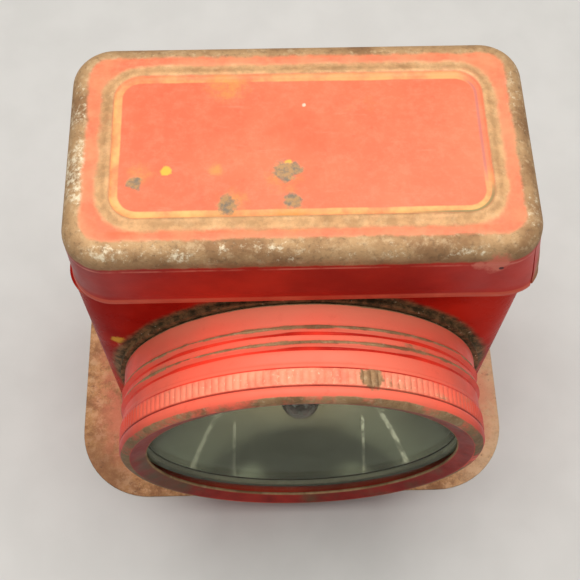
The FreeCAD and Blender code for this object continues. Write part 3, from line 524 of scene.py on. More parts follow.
def lid_material():
    """Faded red top with a worn raised line, a yellow stripe inside it and bare rounded edges."""
    look = Look("lid_enamel")
    x, y, height = look.axes()
    from_edge = look.both(look.outside_rectangle(LID_TOP_HALF_W, LID_TOP_HALF_D, LID_CORNER), -1)
    from_panel = look.outside_rectangle(PANEL_HALF_W, PANEL_HALF_D, PANEL_CORNER)

    from_top = look.minus(height, LID_TOP)
    shoulder = ragged(look, from_top, -7, -5.6, 1.3)
    rim = look.opposite(ragged(look, from_edge, 4.9, 6.6, 1.5))
    flap = look.both(look.ramp(x, 69.8, 71.5), look.ramp(y, -22, -27), 0.8)
    edge_worn = look.most(look.both(shoulder, rim), flap)

    line_out = look.opposite(ragged(look, from_panel, 3.2, 5.4, 1.9, 130))
    line_in = ragged(look, from_panel, 0, 0.8, 0.35)
    on_top = look.ramp(from_top, -1.5, -0.6)
    line_patchy = look.cloudy((70, 5, 0.7), (0.28, 0.5, 0.7, 1), (0.7, 0.3, 0))
    line_worn = look.both(line_out, line_in, on_top, line_patchy)

    colour = skirt_marks(look, lid_top_colour(look, on_top, from_panel), height)
    pits = spots(look, LID_PITS, 0.5)
    pit_colour = look.tint(PIT_BROWN, PIT_GREY, look.cloudy((420, 5, 0.7), (0.4, 0.62)))
    colour = look.tint(colour, pit_colour, pits)

    left = look.ramp(x, -56, -66)
    right = look.both(look.ramp(x, 52, 66), 0.6)
    front = look.ramp(y, -31, -36)
    worn = look.most(edge_worn, line_worn)
    upper_round = look.ramp(from_top, -4.2, -2.4, 0.25, 1)
    steel = worn_steel_colour(look, look.both(look.most(left, right, front), upper_round))
    under = look.ramp(from_top, -3.2, -6, 0, 0.7)
    steel = look.tint(steel, STEEL_BROWN, under, look.cloudy((130, 4, 0.6), (0.3, 0.6)))
    colour = corner_scuff(look, look.tint(colour, steel, worn))
    line_tan = look.tint(LINE_TAN, LINE_BROWN, look.cloudy((240, 5, 0.7), (0.38, 0.62)))
    colour = look.tint(colour, line_tan, line_worn, 0.6)
    fleck = look.near((1.5 * MM, 13.8 * MM, LID_TOP), 0.8, 0.5)
    colour = look.tint(colour, LID_FLECK, fleck, 0.8)
    return enamel_finish(look, colour, look.most(worn, pits), 0.34, 1.28)


def case_material():
    """Deep glossy red, with a grimy worn collar round the neck and rubbed corners."""
    look = Look("case_enamel")
    x, y, z = look.axes()
    reach = look.length(x, look.minus(z, AXIS_Z))
    collar = look.opposite(ragged(look, reach, 66, 69, 2, 120))
    collar = look.both(collar, look.ramp(y, -30, -34))
    scattered = look.cloudy((210, 6, 0.7), (0.71, 0.75), (0.3, 0.6, 0.1))
    low_worn = look.both(look.ramp(z, 26, 4), look.cloudy((110, 6, 0.7), (0.46, 0.6)))
    corner_x = look.ramp(look.math("ABSOLUTE", x), -4.5, -2.5, base=CASE_HALF_W)
    corner_y = look.ramp(look.math("ABSOLUTE", y), -6, -3.5, base=CASE_BACK)
    rubbed_and_highlight = look.both(corner_x, corner_y, look.cloudy((150, 5, 0.7), (0.56, 0.66), (0, 0.3, 0.6)))
    worn = look.most(collar, scattered, low_worn, rubbed_and_highlight)
    colour = enamel_colour(look, 0)
    # Painted highlight: a paler red band along the rolled rib just under the lid.
    bead_highlight = look.band(z, 141.9, 142.3, 143.8, 144.4)
    colour = look.tint(colour, BEAD_PAINTED_HIGHLIGHT, bead_highlight, look.cloudy((60, 4), (0.45, 0.6, 0, 0.7)), 0.8)
    spot = look.near((-61.3 * MM, -CASE_BACK, 111 * MM), 3.2, 0.5)
    colour = look.tint(colour, CASE_SPOT, spot)
    grime_and_shade = look.tint(GRIME_AND_SHADE, STEEL_BROWN, look.cloudy((300, 5, 0.7), (0.38, 0.62)))
    grime_and_shade = look.tint(grime_and_shade, STEEL_BRIGHT, look.cloudy((480, 5, 0.6), (0.66, 0.72), (0.4, 0, 0)))
    colour = look.tint(colour, grime_and_shade, worn)
    return enamel_finish(look, colour, look.most(worn, spot), 0.24, 1.05)


def bezel_material():
    """Red ring, paler towards its top and its back edge as painted light from above; bare on the thread
    crests, the knurling's tips and the rolled front edge; dirt and painted shade in its groove and on its
    flange.
    """
    look = Look("bezel_enamel")
    wear, grime_and_shade = [look.attribute(name) for name in ("wear", "grime_and_shade")]
    noise = look.noise(150, 5, 0.65, (0.2, 0.4, 0.7))
    broad = look.noise(38, 4, 0.6, (0.8, 0.1, 0.3))
    push = look.add(look.both(noise, 0.5), look.both(broad, 0.5))
    worn = look.spread(look.add(wear, push), 0.96, 1.12)
    _, y, z = look.axes()
    patch = look.near((20 * MM, -63 * MM, AXIS_Z + 60 * MM), 4.6, 0.35)
    worn = look.most(worn, look.both(patch, look.ramp(y, -59.8, -60.4)))
    # Painted light from above: the enamel turns paler pink towards the ring's top, where it is not worn.
    lit_from_above = look.ramp(z, 12, 62, 0.08, 0.82, base=AXIS_Z)
    clean = look.spread(wear, 0.02, 0.1)
    colour = enamel_colour(look, look.both(lit_from_above, clean), RING_RED, RING_LIT_PINK)

    # Chalky knurls and pale tips are wear; both grow stronger towards the top as painted light from above.
    knurled = look.band(y, -65.8, -65.5, -60.6, -60.2)
    lit_crown = look.ramp(z, 40, 63, 0.12, 1, base=AXIS_Z)
    colour = look.tint(colour, KNURL_CHALK, knurled, look.spread(noise, 0.32, 0.62, 0.2, 0.8), lit_crown)
    tips = look.cloudy((760, 3, 0.6), (0.6, 0.74, 0, 0.7), (0.1, 0, 0.9))
    colour = look.tint(colour, KNURL_TIP, knurled, tips, lit_crown)
    # Painted light: paler pink along the top of the ring's back edge.
    colour = look.tint(colour, RING_BACK_LIT, look.ramp(y, -6, -1, base=-BEZEL_BACK), lit_from_above, 0.5)

    # The rim's bare steel is a little darker all round, and darker again on its lower sides as painted shade.
    rim_shaded_sides = look.both(look.ramp(z, 50, 20, base=AXIS_Z), look.ramp(y, -68.4, -69))
    rim_dark_and_shade = look.scaled(rim_shaded_sides, 0.4, 0.25)
    steel = look.tint(worn_steel_colour(look, 0.35), STEEL_DARK, rim_dark_and_shade)
    colour = look.tint(colour, steel, worn)
    # Dirt and painted shade: dark maroon and brown in the groove before the rim and on the inner flange.
    dirt_and_shade_colour = look.tint(RING_DIRT_AND_SHADE, GRIME_AND_SHADE, look.spread(broad, 0.5, 0.66))
    colour = look.tint(colour, dirt_and_shade_colour, grime_and_shade, look.spread(noise, 0.25, 0.75, 1, 0.75))
    return enamel_finish(look, colour, worn, 0.34, 1.2)


def plate_material():
    """Base plate: mostly brown rusted steel, with red enamel left near the case."""
    look = Look("base_enamel")
    from_case = look.outside_rectangle(CASE_HALF_W, CASE_BACK, CASE_CORNER)
    fine = look.noise(620, 5, 0.7)
    speckle = look.noise(250, 7, 0.75, (0.5, 0.1, 0))
    x, y, _ = look.axes()
    pale_right = look.both(look.ramp(x, 60, 84), look.spread(fine, 0.3, 0.6, 0.4, 0.8))
    shadow_left = look.both(look.ramp(x, -60, -84), look.ramp(y, -20, -50), 0.75)
    dark = look.cloudy((260, 6, 0.72), (0.6, 0.68), (0, 0.4, 0.4))
    scratches = look.cloudy((240, 3, 0.5), (0.66, 0.72, 0, 0.45), (0.2, 0.3, 0), (0.1, 1.3, 1))
    layers = (
        (PLATE_DARK, look.cloudy((120, 7, 0.7), (0.36, 0.64), (0.3, 0.3, 0))),
        (PLATE_TAN, look.spread(fine, 0.5, 0.72, 0, 0.6)),
        (PLATE_PALE, look.spread(speckle, 0.5, 0.6, 0, 0.55)),
        ((0.28, 0.12, 0.05), look.spread(speckle, 0.49, 0.4, 0, 0.65)),
        ((0.7, 0.48, 0.3), pale_right),
        (PLATE_SHADOW, shadow_left),
        ((0.12, 0.055, 0.035), look.both(dark, 0.7)),
        ((0.7, 0.52, 0.34), scratches),
    )
    brown = PLATE_BROWN
    for tone, mask in layers:
        brown = look.tint(brown, tone, mask)
    red = ragged(look, look.both(from_case, -1), -21, -6, 7, 48)
    red_patchy = look.cloudy((90, 6, 0.7), (0.3, 0.54), (0.6, 0, 0))
    colour = look.tint(brown, PLATE_RED, red, red_patchy, 0.85)
    return look.finish(colour, look.spread(fine, 0.3, 0.7, 0.5, 0.72), 0.15,
                       look.bump(look.noise(520, 7, 0.75), 0.5 * MM, 0.8), specular_ior_level=0.4)


# ---------- other materials

def plain_metal(name, colour, dark, rough):
    """Bare metal with darker stains."""
    look = Look(name)
    stains = look.noise(120, 6, 0.65)
    fine = look.noise(1080, 4, 0.7)
    tone = look.tint(colour, dark, look.spread(stains, 0.42, 0.72))
    tone = look.tint(tone, dark, look.spread(fine, 0.5, 0.8, 0, 0.3))
    return look.finish(tone, look.spread(stains, 0.3, 0.75, rough, rough + 0.2), 1,
                       look.bump(fine, 0.05 * MM, 0.5))


def dull_material(name, colour, dark, rough, scale=300, depth=0.15):
    """Matt material with darker stains and a fine grain, depth millimetres deep."""
    look = Look(name)
    fine = look.noise(scale * 3, 5, 0.7)
    tone = look.tint(colour, dark, look.cloudy((scale / 6, 5, 0.6), (0.35, 0.7)))
    tone = look.tint(tone, dark, look.spread(fine, 0.45, 0.75, 0, 0.5))
    return look.finish(tone, rough, 0, look.bump(fine, depth * MM, 0.7))


def glint_line(look, x, up, start, end, half_width):
    """Thin painted reflection line on the reflector, from start down to end, each (across, up) from its
    middle.
    """
    down_share = look.math("DIVIDE", look.minus(start[1], up), start[1] - end[1], clamp=True)
    line_x = look.scaled(down_share, end[0] - start[0], start[0])
    off = look.math("ABSOLUTE", look.minus(x, line_x))
    thin = look.spread(off, half_width * 0.3, half_width, 1, 0)
    below_start = look.ramp(up, 4, 0, base=start[1])
    above_end = look.ramp(up, -4, 0, base=end[1])
    return look.both(thin, below_start, above_end, look.cloudy((260, 5, 0.7), (0.38, 0.6, 0.1, 1)))


# How fast the reflector's rings and the leads' braid repeat, in radians per metre.
RING_RATE = 5200
BRAID_RATE = 4200
SILVER = (0.26, 0.25, 0.185)
SILVER_DULL = (0.19, 0.17, 0.12)
SILVER_DARK = (0.13, 0.11, 0.08)
SILVER_BROWN = (0.58, 0.46, 0.28)
SILVER_RIM = (0.14, 0.16, 0.115)
SILVER_GLINT = (0.92, 0.9, 0.74)
SILVER_GLOW = (0.7, 0.6, 0.26)


def reflector_material():
    """Tarnished silvering: grey-green, mottled, with faint burnishing rings, a brown bloom and painted
    reflections.
    """
    look = Look("tarnished_mirror")
    x, _, z = look.axes()
    up = look.minus(z, AXIS_Z)
    reach = look.length(x, up)
    rings = look.math("SINE", look.both(reach, RING_RATE))
    cloud = look.noise(34, 5, 0.6)
    fine = look.noise(700, 4, 0.7)
    silver = look.tint(SILVER, SILVER_DULL, look.spread(cloud, 0.35, 0.7))
    silver = look.tint(silver, SILVER_DARK, look.spread(fine, 0.62, 0.74, 0, 0.5))
    silver = look.tint(silver, SILVER_BROWN, look.ramp(reach, 42, 18, 0, 0.6))
    silver = look.tint(silver, SILVER_RIM, look.ramp(reach, 32, 54, 0, 0.75))
    # Painted reflections: a pair of bright lines on each side, one upright and one slanted, low in the dish,
    # stronger on the right.
    for side, strength in ((-1, 0.35), (1, 0.75)):
        upright = glint_line(look, x, up, (25 * side * MM, -30 * MM), (26 * side * MM, -48 * MM), 0.9 * MM)
        slanted = glint_line(look, x, up, (31 * side * MM, -22 * MM), (42 * side * MM, -36 * MM), 2.4 * MM)
        silver = look.tint(silver, SILVER_GLINT, look.most(upright, slanted), strength)
    glow = look.near((13 * MM, dish_high.y - 3 * MM, AXIS_Z - 46 * MM), 5, 0.9)
    silver = look.tint(silver, SILVER_GLOW, glow, 0.35)
    height = look.add(look.both(rings, 0.12), look.both(fine, 0.3))
    round_about = look.nodes.new("ShaderNodeCombineXYZ")
    look.wire(round_about.inputs[0], look.both(up, -1))
    look.wire(round_about.inputs[2], x)
    look.links.new(round_about.outputs[0], look.surface.inputs["Tangent"])
    return look.finish(silver, look.spread(cloud, 0.3, 0.7, 0.14, 0.22), 0.92,
                       look.bump(height, 0.02 * MM, 0.4), anisotropic=0.75)


def pane_material():
    """Old clear pane: see-through, a little dusty and green, with real reflections."""
    look = Look("lens_pane")
    dust = look.cloudy((60, 6, 0.6), (0.4, 0.75, 0, 0.03))
    specks = look.cloudy((900, 3, 0.6), (0.7, 0.76, 0, 0.2), (0.4, 0.2, 0.2))
    facing = look.nodes.new("ShaderNodeLayerWeight").outputs["Facing"]
    glance = look.both(look.math("POWER", facing, 5), 0.5)
    share = look.math("ADD", look.add(dust, specks), glance, clamp=True)
    look.finish((0.42, 0.45, 0.36), 0.06, 0.8, specular_ior_level=0.8)
    clear = look.nodes.new("ShaderNodeBsdfTransparent")
    clear.inputs["Color"].default_value = (0.965, 0.98, 0.945, 1)
    blend = look.nodes.new("ShaderNodeMixShader")
    look.wire(blend.inputs[0], share)
    look.links.new(clear.outputs[0], blend.inputs[1])
    look.links.new(look.surface.outputs[0], blend.inputs[2])
    look.links.new(blend.outputs[0], look.nodes["Material Output"].inputs["Surface"])
    return look.material


def ruby_material():
    """Thick dark ruby lacquer over the bulb glass, a little uneven."""
    look = Look("ruby_lacquer")
    runs = look.noise(260, 4, 0.5)
    colour = look.tint((0.085, 0.018, 0.022), (0.035, 0.012, 0.014), look.spread(runs, 0.35, 0.7))
    return look.finish(colour, 0.16, 0, look.bump(runs, 0.1 * MM, 0.4),
                       coat_weight=0.5, coat_roughness=0.08)


def lamp_glass_material():
    """Clear glass of the bulb's stem."""
    look = Look("lamp_glass")
    roughness = look.cloudy((300, 3, 0.5), (0.3, 0.7, 0.03, 0.08))
    return look.finish((0.85, 0.87, 0.85), roughness, transmission_weight=0.9)


def braid_material():
    """Waxed cotton braid on the leads."""
    look = Look("lead_braid")
    x, y, z = look.axes()
    level = look.add(x, y)
    first = look.math("SINE", look.both(look.add(level, z), BRAID_RATE))
    second = look.math("SINE", look.both(look.minus(level, z), BRAID_RATE))
    weave = look.both(first, second)
    colour = look.tint((0.03, 0.026, 0.022), (0.1, 0.085, 0.065), look.spread(weave, -0.4, 0.6))
    return look.finish(colour, 0.62, 0, look.bump(weave, 0.12 * MM, 0.8))


JACKET_BROWN = (0.46, 0.33, 0.18)
JACKET_STAIN = (0.3, 0.2, 0.11)
JACKET_INK = (0.06, 0.09, 0.16)
JACKET_FIBRE = (0.2, 0.14, 0.08)


def jacket_material():
    """Cell jacket: brown card wrap with plain bands printed round it."""
    look = Look("jacket_card")
    _, _, z = look.axes()
    fibre = look.noise(700, 5, 0.7, stretch=(1, 1, 0.25))
    tone = look.tint(JACKET_BROWN, JACKET_STAIN, look.cloudy((40, 5, 0.6), (0.35, 0.7)))
    bands = look.most(look.band(z, 108, 108.4, 127.6, 128), look.band(z, 132, 132.3, 133.7, 134))
    tone = look.tint(tone, JACKET_INK, bands, look.spread(fibre, 0.3, 0.5, 0.75, 1))
    tone = look.tint(tone, JACKET_FIBRE, look.spread(fibre, 0.5, 0.8, 0, 0.35))
    return look.finish(tone, 0.72, 0, look.bump(fibre, 0.1 * MM, 0.6))


# ---------- lid

HEM = 0.35 * MM
PANEL_DROP = 0.3 * MM
BAND_DROP = 0.15 * MM
# The raised line's section: out from the panel's edge and up from the lid's top, in millimetres.
PANEL_RIDGE = (
    (4.4, -0.17), (3.4, -0.14), (2.8, -0.02), (2.2, 0.22), (1.7, 0.41), (1.2, 0.49), (0.8, 0.46),
    (0.4, 0.3), (0.1, 0.08), (-0.25, -0.14), (-0.7, -0.27), (-1.3, -0.3),
)
SPLIT_FLARE = 3.2 * MM
SPLIT_TOP = LID_TOP - 3 * MM
SPLIT_TURN = math.radians(-38)
SPLIT_WAY = Vector((math.cos(SPLIT_TURN), math.sin(SPLIT_TURN), 0))


def lid_inset(inward, z):
    """Loop round the lid at a height, inset from its leaning outside."""
    outward = LID_FLARE * (LID_TOP - z) / (LID_TOP - lid_low.z) - inward
    corner = max(LID_CORNER + outward, 2 * MM)
    return rounded_loop(LID_TOP_HALF_W + outward, LID_TOP_HALF_D + outward, corner, z)


def panel_loop(outward, z):
    """Loop round the raised panel at a height."""
    corner = max(PANEL_CORNER + outward, 1 * MM)
    return rounded_loop(PANEL_HALF_W + outward, PANEL_HALF_D + outward, corner, z)


def quarter_round(inward, top, radius, steps):
    """Loops round an outside edge, from the skirt up to the top."""
    loops = []
    for step in range(steps + 1):
        turn = math.pi / 2 * step / steps
        in_by = radius * (1 - math.cos(turn))
        loops.append(lid_inset(inward + in_by, top - radius * (1 - math.sin(turn))))
    return loops


def split_place(reach):
    """A spot on the split at the lid's right front corner, this far out from the corner's middle."""
    middle = Vector((LID_TOP_HALF_W - LID_CORNER, LID_CORNER - LID_TOP_HALF_D, 0))
    return middle + SPLIT_WAY * reach


def flare_corner(point):
    """Bend the skirt out sideways at its split right front corner."""
    drop = smooth_step(0, SPLIT_TOP - lid_low.z, SPLIT_TOP - point.z)
    if drop <= 0 or point.x < 0 or point.y > 0:
        return point
    beside = Vector((point.x, point.y, 0)) - split_place(LID_CORNER)
    share = 1 - smooth_step(2 * MM, 15 * MM, beside.length)
    return point + Vector((1, -0.2, 0)) * SPLIT_FLARE * drop * share


def make_lid():
    """Lid pressed from sheet, with a rolled hem, rounded edges, a raised line and a split corner."""
    bottom = lid_low.z
    inside = SHEET + HEM
    skirt_foot = bottom + 2.4 * MM
    skirt_top = LID_TOP - LID_ROUND
    loops = [lid_inset(inside + LID_ROUND + 9 * MM, LID_TOP - PANEL_DROP - SHEET)]
    loops += list(reversed(quarter_round(inside, LID_TOP - SHEET, LID_ROUND - SHEET, 6)))
    for share in (0.75, 0.5, 0.25):
        loops.append(lid_inset(inside, bottom + share * (skirt_top - bottom)))
    hem = ((inside, 0.3 * MM), (inside - 0.25 * MM, 0), (0.25 * MM, 0), (0, 0.3 * MM), (0, 1.2 * MM),
           (0.1 * MM, 1.8 * MM), (HEM, 2.4 * MM))
    loops += [lid_inset(inward, bottom + rise) for inward, rise in hem]
    for share in (0.15, 0.3, 0.45, 0.6, 0.75, 0.9):
        loops.append(lid_inset(HEM * (1 - share), skirt_foot + share * (skirt_top - skirt_foot)))
    loops += quarter_round(0, LID_TOP, LID_ROUND, 10)
    loops += [lid_inset(7.2 * MM, LID_TOP - 0.05 * MM), lid_inset(8.6 * MM, LID_TOP - BAND_DROP)]
    loops += [panel_loop(out * MM, LID_TOP + rise * MM) for out, rise in PANEL_RIDGE]
    loops += [panel_loop(out * MM, LID_TOP - PANEL_DROP) for out in (-3, -8, -14, -20)]
    loops = [[flare_corner(point) for point in loop] for loop in loops]
    points, faces = skin_loops(loops)
    lid = new_piece("lid_shell", points, faces, "lid", lid_material(), ["lid"])
    cut_slit(lid)
    return lid


def cut_slit(lid):
    """Split the skirt at its right front corner with a narrow wedge."""
    side = Vector((-SPLIT_WAY.y, SPLIT_WAY.x, 0))
    near = split_place(LID_CORNER - 3.5 * MM)
    far = split_place(LID_CORNER + 8 * MM)
    levels = ((lid_low.z - 1 * MM, 0.55 * MM), (LID_TOP - 5 * MM, 0.14 * MM))
    points = []
    for z, half in levels:
        for spot in (near, far):
            for way in (-1, 1):
                point = spot + side * half * way
                points.append((point.x, point.y, z))
    faces = [(0, 1, 3, 2), (4, 6, 7, 5), (0, 2, 6, 4), (1, 5, 7, 3), (0, 4, 5, 1), (2, 3, 7, 6)]
    wedge = mesh_object("slit_wedge", points, faces)
    cutter = lid.modifiers.new("slit", "BOOLEAN")
    cutter.operation = "DIFFERENCE"
    cutter.solver = "EXACT"
    cutter.object = wedge
    bpy.context.view_layer.update()
    graph = bpy.context.evaluated_depsgraph_get()
    result = bpy.data.meshes.new_from_object(lid.evaluated_get(graph))
    lid.modifiers.clear()
    lid.data = result
    bpy.data.objects.remove(wedge)


# ---------- bezel

BEZEL_SHEET = 0.8 * MM
SKIRT_R = BEZEL_R - 0.9 * MM
BAND_R = BEZEL_R - 0.4 * MM
KNURL_DEPTH = 0.45 * MM
KNURL_BACK = 60.5 * MM
KNURL_FRONT = 65.6 * MM


def crest_distance(turn, forward):
    """How far in front of the nearest thread crest a place is, and that crest's lap."""
    along = forward - THREAD_START - THREAD_PITCH * turn / (2 * math.pi)
    lap = round(along / THREAD_PITCH)
    lap = min(max(lap, 0), THREAD_TURNS - 1)
    return along - lap * THREAD_PITCH, lap


def thread_fade(turn, lap):
    """Let the thread rise and sink over a short arc at its two ends."""
    travelled = lap * 2 * math.pi + turn
    whole = THREAD_TURNS * 2 * math.pi
    return smooth_step(0, 0.35, travelled) * smooth_step(0, 0.35, whole - travelled)


def thread_shape(turn, forward):
    """Rise of the rolled thread, with a groove in front of its crest."""
    off, lap = crest_distance(turn, forward)
    fade = thread_fade(turn, lap)
    crest = 0.85 * math.exp(-(off / (0.75 * MM)) ** 2)
    groove = -0.6 * math.exp(-((off - 1.55 * MM) / (0.7 * MM)) ** 2)
    return (crest + groove) * fade * MM


def knurl_shape(turn, forward):
    """Dips between the knurls."""
    inside = smooth_step(KNURL_BACK - 0.2 * MM, KNURL_BACK + 0.4 * MM, forward)
    inside *= 1 - smooth_step(KNURL_FRONT - 0.4 * MM, KNURL_FRONT + 0.1 * MM, forward)
    wave = abs(math.cos(turn * KNURLS / 2)) ** 0.7
    return -KNURL_DEPTH * (1 - wave) * inside


def bezel_ripple(turn, forward, radius):
    """What the thread and the knurls add to the ring's radius."""
    if forward < 58 * MM:
        return thread_shape(turn, forward)
    if radius > BAND_R - 0.2 * MM:
        return knurl_shape(turn, forward)
    return 0


def bezel_profile():
    """Outline of (forward, radius), out along the outside, round the rim and back inside."""
    outside = [(BEZEL_BACK, SKIRT_R - 0.15 * MM), (BEZEL_BACK + 0.15 * MM, SKIRT_R)]
    outside += [(BEZEL_BACK + 0.5 * MM * step, SKIRT_R) for step in range(1, 39)]
    front_part = [
        (58.3, -0.9), (58.6, -0.8), (58.9, -0.52), (59.2, -0.42), (60.2, -0.4), (60.5, -0.25), (60.8, 0),
        (61.5, 0), (62.3, 0), (63.1, 0), (63.9, 0), (64.7, 0), (65.3, 0), (65.6, -0.15),
        (65.85, -0.55), (66.1, -0.62), (66.3, -0.35), (66.6, -0.12), (67.2, -0.05), (68, -0.1),
    ]
    outside += [(forward * MM, BEZEL_R + out * MM) for forward, out in front_part]
    rim = [
        (68.7, 63.5), (69.3, 63.05), (69.8, 62.4), (70.2, 61.6), (70.42, 60.9), (70.5, 60.3), (70.42, 59.8),
        (70.2, 59.2), (69.9, 58.4), (69.3, 56.7), (68.7, 55), (68.5, 54.45), (68.3, 54.3), (67.95, 54.28),
        (67.65, 54.4), (67.9, 55.2), (69, 58.4), (69.5, 59.9), (69.6, 60.6), (69.2, 61.6), (68.4, 62.4),
        (67, 62.7), (60, 62.7), (58.2, 62.2),
    ]
    outside += [(forward * MM, radius * MM) for forward, radius in rim]
    inner_r = SKIRT_R - BEZEL_SHEET
    inside = [(BEZEL_BACK + 0.5 * MM * step, inner_r) for step in range(38, 0, -1)]
    return outside + inside + [(BEZEL_BACK, inner_r + 0.1 * MM)]


def bezel_wear(turn, forward, radius):
    """How bare each place on the ring is, 0 to 1, before the material's noise."""
    if forward < 58 * MM and radius > SKIRT_R - 0.5 * MM:
        rise = thread_shape(turn, forward) / MM
        off, _ = crest_distance(turn, forward)
        between = 0.16 if THREAD_START < forward < THREAD_START + 9 * MM else 0
        back_edge = 0.55 * math.exp(-((forward - BEZEL_BACK) / (0.5 * MM)) ** 2)
        top = 0.12 * max(math.sin(turn), 0) ** 8
        bare = 0.26 + (0.33 + top) * max(rise, 0) + back_edge + between * (off < 0)
        return bare * smooth_step(-0.3, -0.04, rise)
    if forward > 69.2 * MM and radius > 59.9 * MM:
        return 0.6
    if radius < 54.9 * MM and forward > 67.5 * MM:
        return 0.9
    if KNURL_BACK < forward < KNURL_FRONT:
        return 0.42
    if KNURL_BACK - 0.8 * MM < forward <= KNURL_BACK:
        return 0
    return 0.28


def bezel_grime_and_shade(forward, radius):
    """Dirt and painted shade in the groove in front of the knurling and on the inner flange."""
    if 65.7 * MM < forward < 66.25 * MM and radius > 60 * MM:
        return 0.9
    if forward > 67.5 * MM and 54.9 * MM < radius < 59.9 * MM:
        return 0.95
    return 0


def make_bezel():
    """Bezel ring, with its wear and its mask of dirt and painted shade stored on its points for the material.
    """
    profile = bezel_profile()
    steps = KNURLS * 6
    bezel = turned("bezel_ring", profile, steps, "bezel", bezel_material(), ["bezel"], bezel_ripple, 50)
    wear = bezel.data.attributes.new("wear", "FLOAT", "POINT")
    grime_and_shade = bezel.data.attributes.new("grime_and_shade", "FLOAT", "POINT")
    amounts = []
    for step in range(steps):
        turn = 2 * math.pi * step / steps
        amounts += [bezel_wear(turn, forward, radius) for forward, radius in profile]
    wear.data.foreach_set("value", amounts)
    grime_and_shade.data.foreach_set("value", [bezel_grime_and_shade(forward, radius) for forward, radius in profile] * steps)
    return bezel


# ---------- base plate and seam

def make_base_plate():
    """Thin plate with softened edges."""
    middle = (plate_low + plate_high) / 2
    half_w = plate_high.x - middle.x
    half_d = plate_high.y - middle.y
    corner = 30 * MM
    soft = 0.35 * MM

    def at(inward, z):
        """Loop round the plate at a height, inset from its edge."""
        loop = rounded_loop(half_w - inward, half_d - inward, corner - inward, z)
        return [Vector((p.x + middle.x, p.y + middle.y, p.z)) for p in loop]

    rounding = ((20 * MM, 0), (soft, 0), (0.1 * MM, 0.1 * MM), (0, soft))
    loops = [at(inward, plate_low.z + rise) for inward, rise in rounding]
    loops += [at(inward, plate_high.z - rise) for inward, rise in reversed(rounding)]
    points, faces = skin_loops(loops)
    plate = new_piece("base_sheet", points, faces, "case", plate_material(), ["base_plate"], 60)
    return plate


SEAM_TOP = 142 * MM
SEAM_PLACE = -45 * MM
# The seam's section: across from its middle and out from the case's back, in millimetres.
SEAM_SECTION = (
    (3.7, -0.3), (3.6, 0.1), (3.2, 0.42), (2.4, 0.5), (-2.2, 0.5), (-3.1, 0.42), (-3.5, 0.15), (-3.6, -0.3),
)


def make_seam(material):
    """Folded seam down the back of the case."""
    levels = [case_low.z + 0.3 * MM, case_low.z + 0.8 * MM]
    levels += [case_low.z + share * (SEAM_TOP - case_low.z) for share in (0.2, 0.4, 0.6, 0.8, 1)]
    loops = [[Vector((SEAM_PLACE + across * MM, CASE_BACK + out * MM, z)) for across, out in SEAM_SECTION]
             for z in levels]
    points, faces = skin_loops(loops)
    seam = new_piece("case_seam", points, faces, "case", material)
    return seam


# ---------- dressing the CAD nodes

def dress(material, *names):
    """Give CAD nodes a finished material."""
    for name in names:
        node = frame["nodes"][name]
        node.data.materials.clear()
        node.data.materials.append(material)


def dress_cad_nodes():
    """Give every CAD node that stays in view its material; return the case's red for the seam."""
    case_red = case_material()
    dress(case_red, "housing")
    brass = plain_metal("aged_brass", (0.62, 0.43, 0.17), (0.24, 0.16, 0.07), 0.28)
    dress(brass, "socket_shell", "socket_rivet", "bulb_cap", "cell_carbons", "terminal_posts")
    dress(brass, "terminal_nuts", "link_strip", "lead_tags", "switch_spacers", "switch_leaf", "switch_shoe")
    plated = plain_metal("dull_plate", (0.5, 0.48, 0.44), (0.22, 0.17, 0.12), 0.36)
    dress(plated, "switch_plate", "switch_rivets", "base_rivets", "bulb_filament")
    dress(plain_metal("tinned_steel", (0.52, 0.51, 0.46), (0.28, 0.22, 0.15), 0.32), "neck")
    dress(plain_metal("zinc", (0.48, 0.49, 0.5), (0.25, 0.26, 0.27), 0.45), "cell_cans")
    dress(plain_metal("solder", (0.55, 0.55, 0.54), (0.3, 0.3, 0.29), 0.35), "bulb_tip")
    dress(reflector_material(), "reflector")
    dress(pane_material(), "lens_glass")
    dress(dull_material("gasket_felt", (0.38, 0.38, 0.28), (0.22, 0.21, 0.15), 0.9), "lens_gasket")
    dress(ruby_material(), "bulb_globe")
    dress(lamp_glass_material(), "bulb_stem")
    fibre = dull_material("vulcanised_fibre", (0.26, 0.085, 0.05), (0.15, 0.05, 0.03), 0.5)
    dress(fibre, "socket_disc", "switch_fibre")
    dress(dull_material("grey_felt", (0.25, 0.24, 0.21), (0.14, 0.13, 0.12), 0.95, 500, 0.3), "cell_pads")
    dress(jacket_material(), "cell_jackets")
    dress(dull_material("sealing_pitch", (0.028, 0.024, 0.02), (0.012, 0.01, 0.009), 0.35), "cell_seals")
    dress(dull_material("pressboard", (0.52, 0.42, 0.26), (0.38, 0.29, 0.17), 0.85), "lid_card")
    dress(braid_material(), "lead_bulb", "lead_switch")
    moulding = dull_material("black_moulding", (0.022, 0.02, 0.019), (0.04, 0.036, 0.033), 0.36, 500, 0.05)
    dress(moulding, "switch_knob")
    return case_red


# ---------- stage

FLOOR_HALF = 3
BACKDROP_START = 1.2
BACKDROP_ROUND = 1
BACKDROP_TOP = 3
BACKDROP_STEPS = 12


def floor_material():
    """Pale matt grey."""
    look = Look("studio_floor")
    colour = look.tint((0.6, 0.6, 0.59), (0.63, 0.63, 0.62), look.cloudy((40, 4, 0.5), (0.3, 0.7)))
    return look.finish(colour, 0.75, specular_ior_level=0.2)


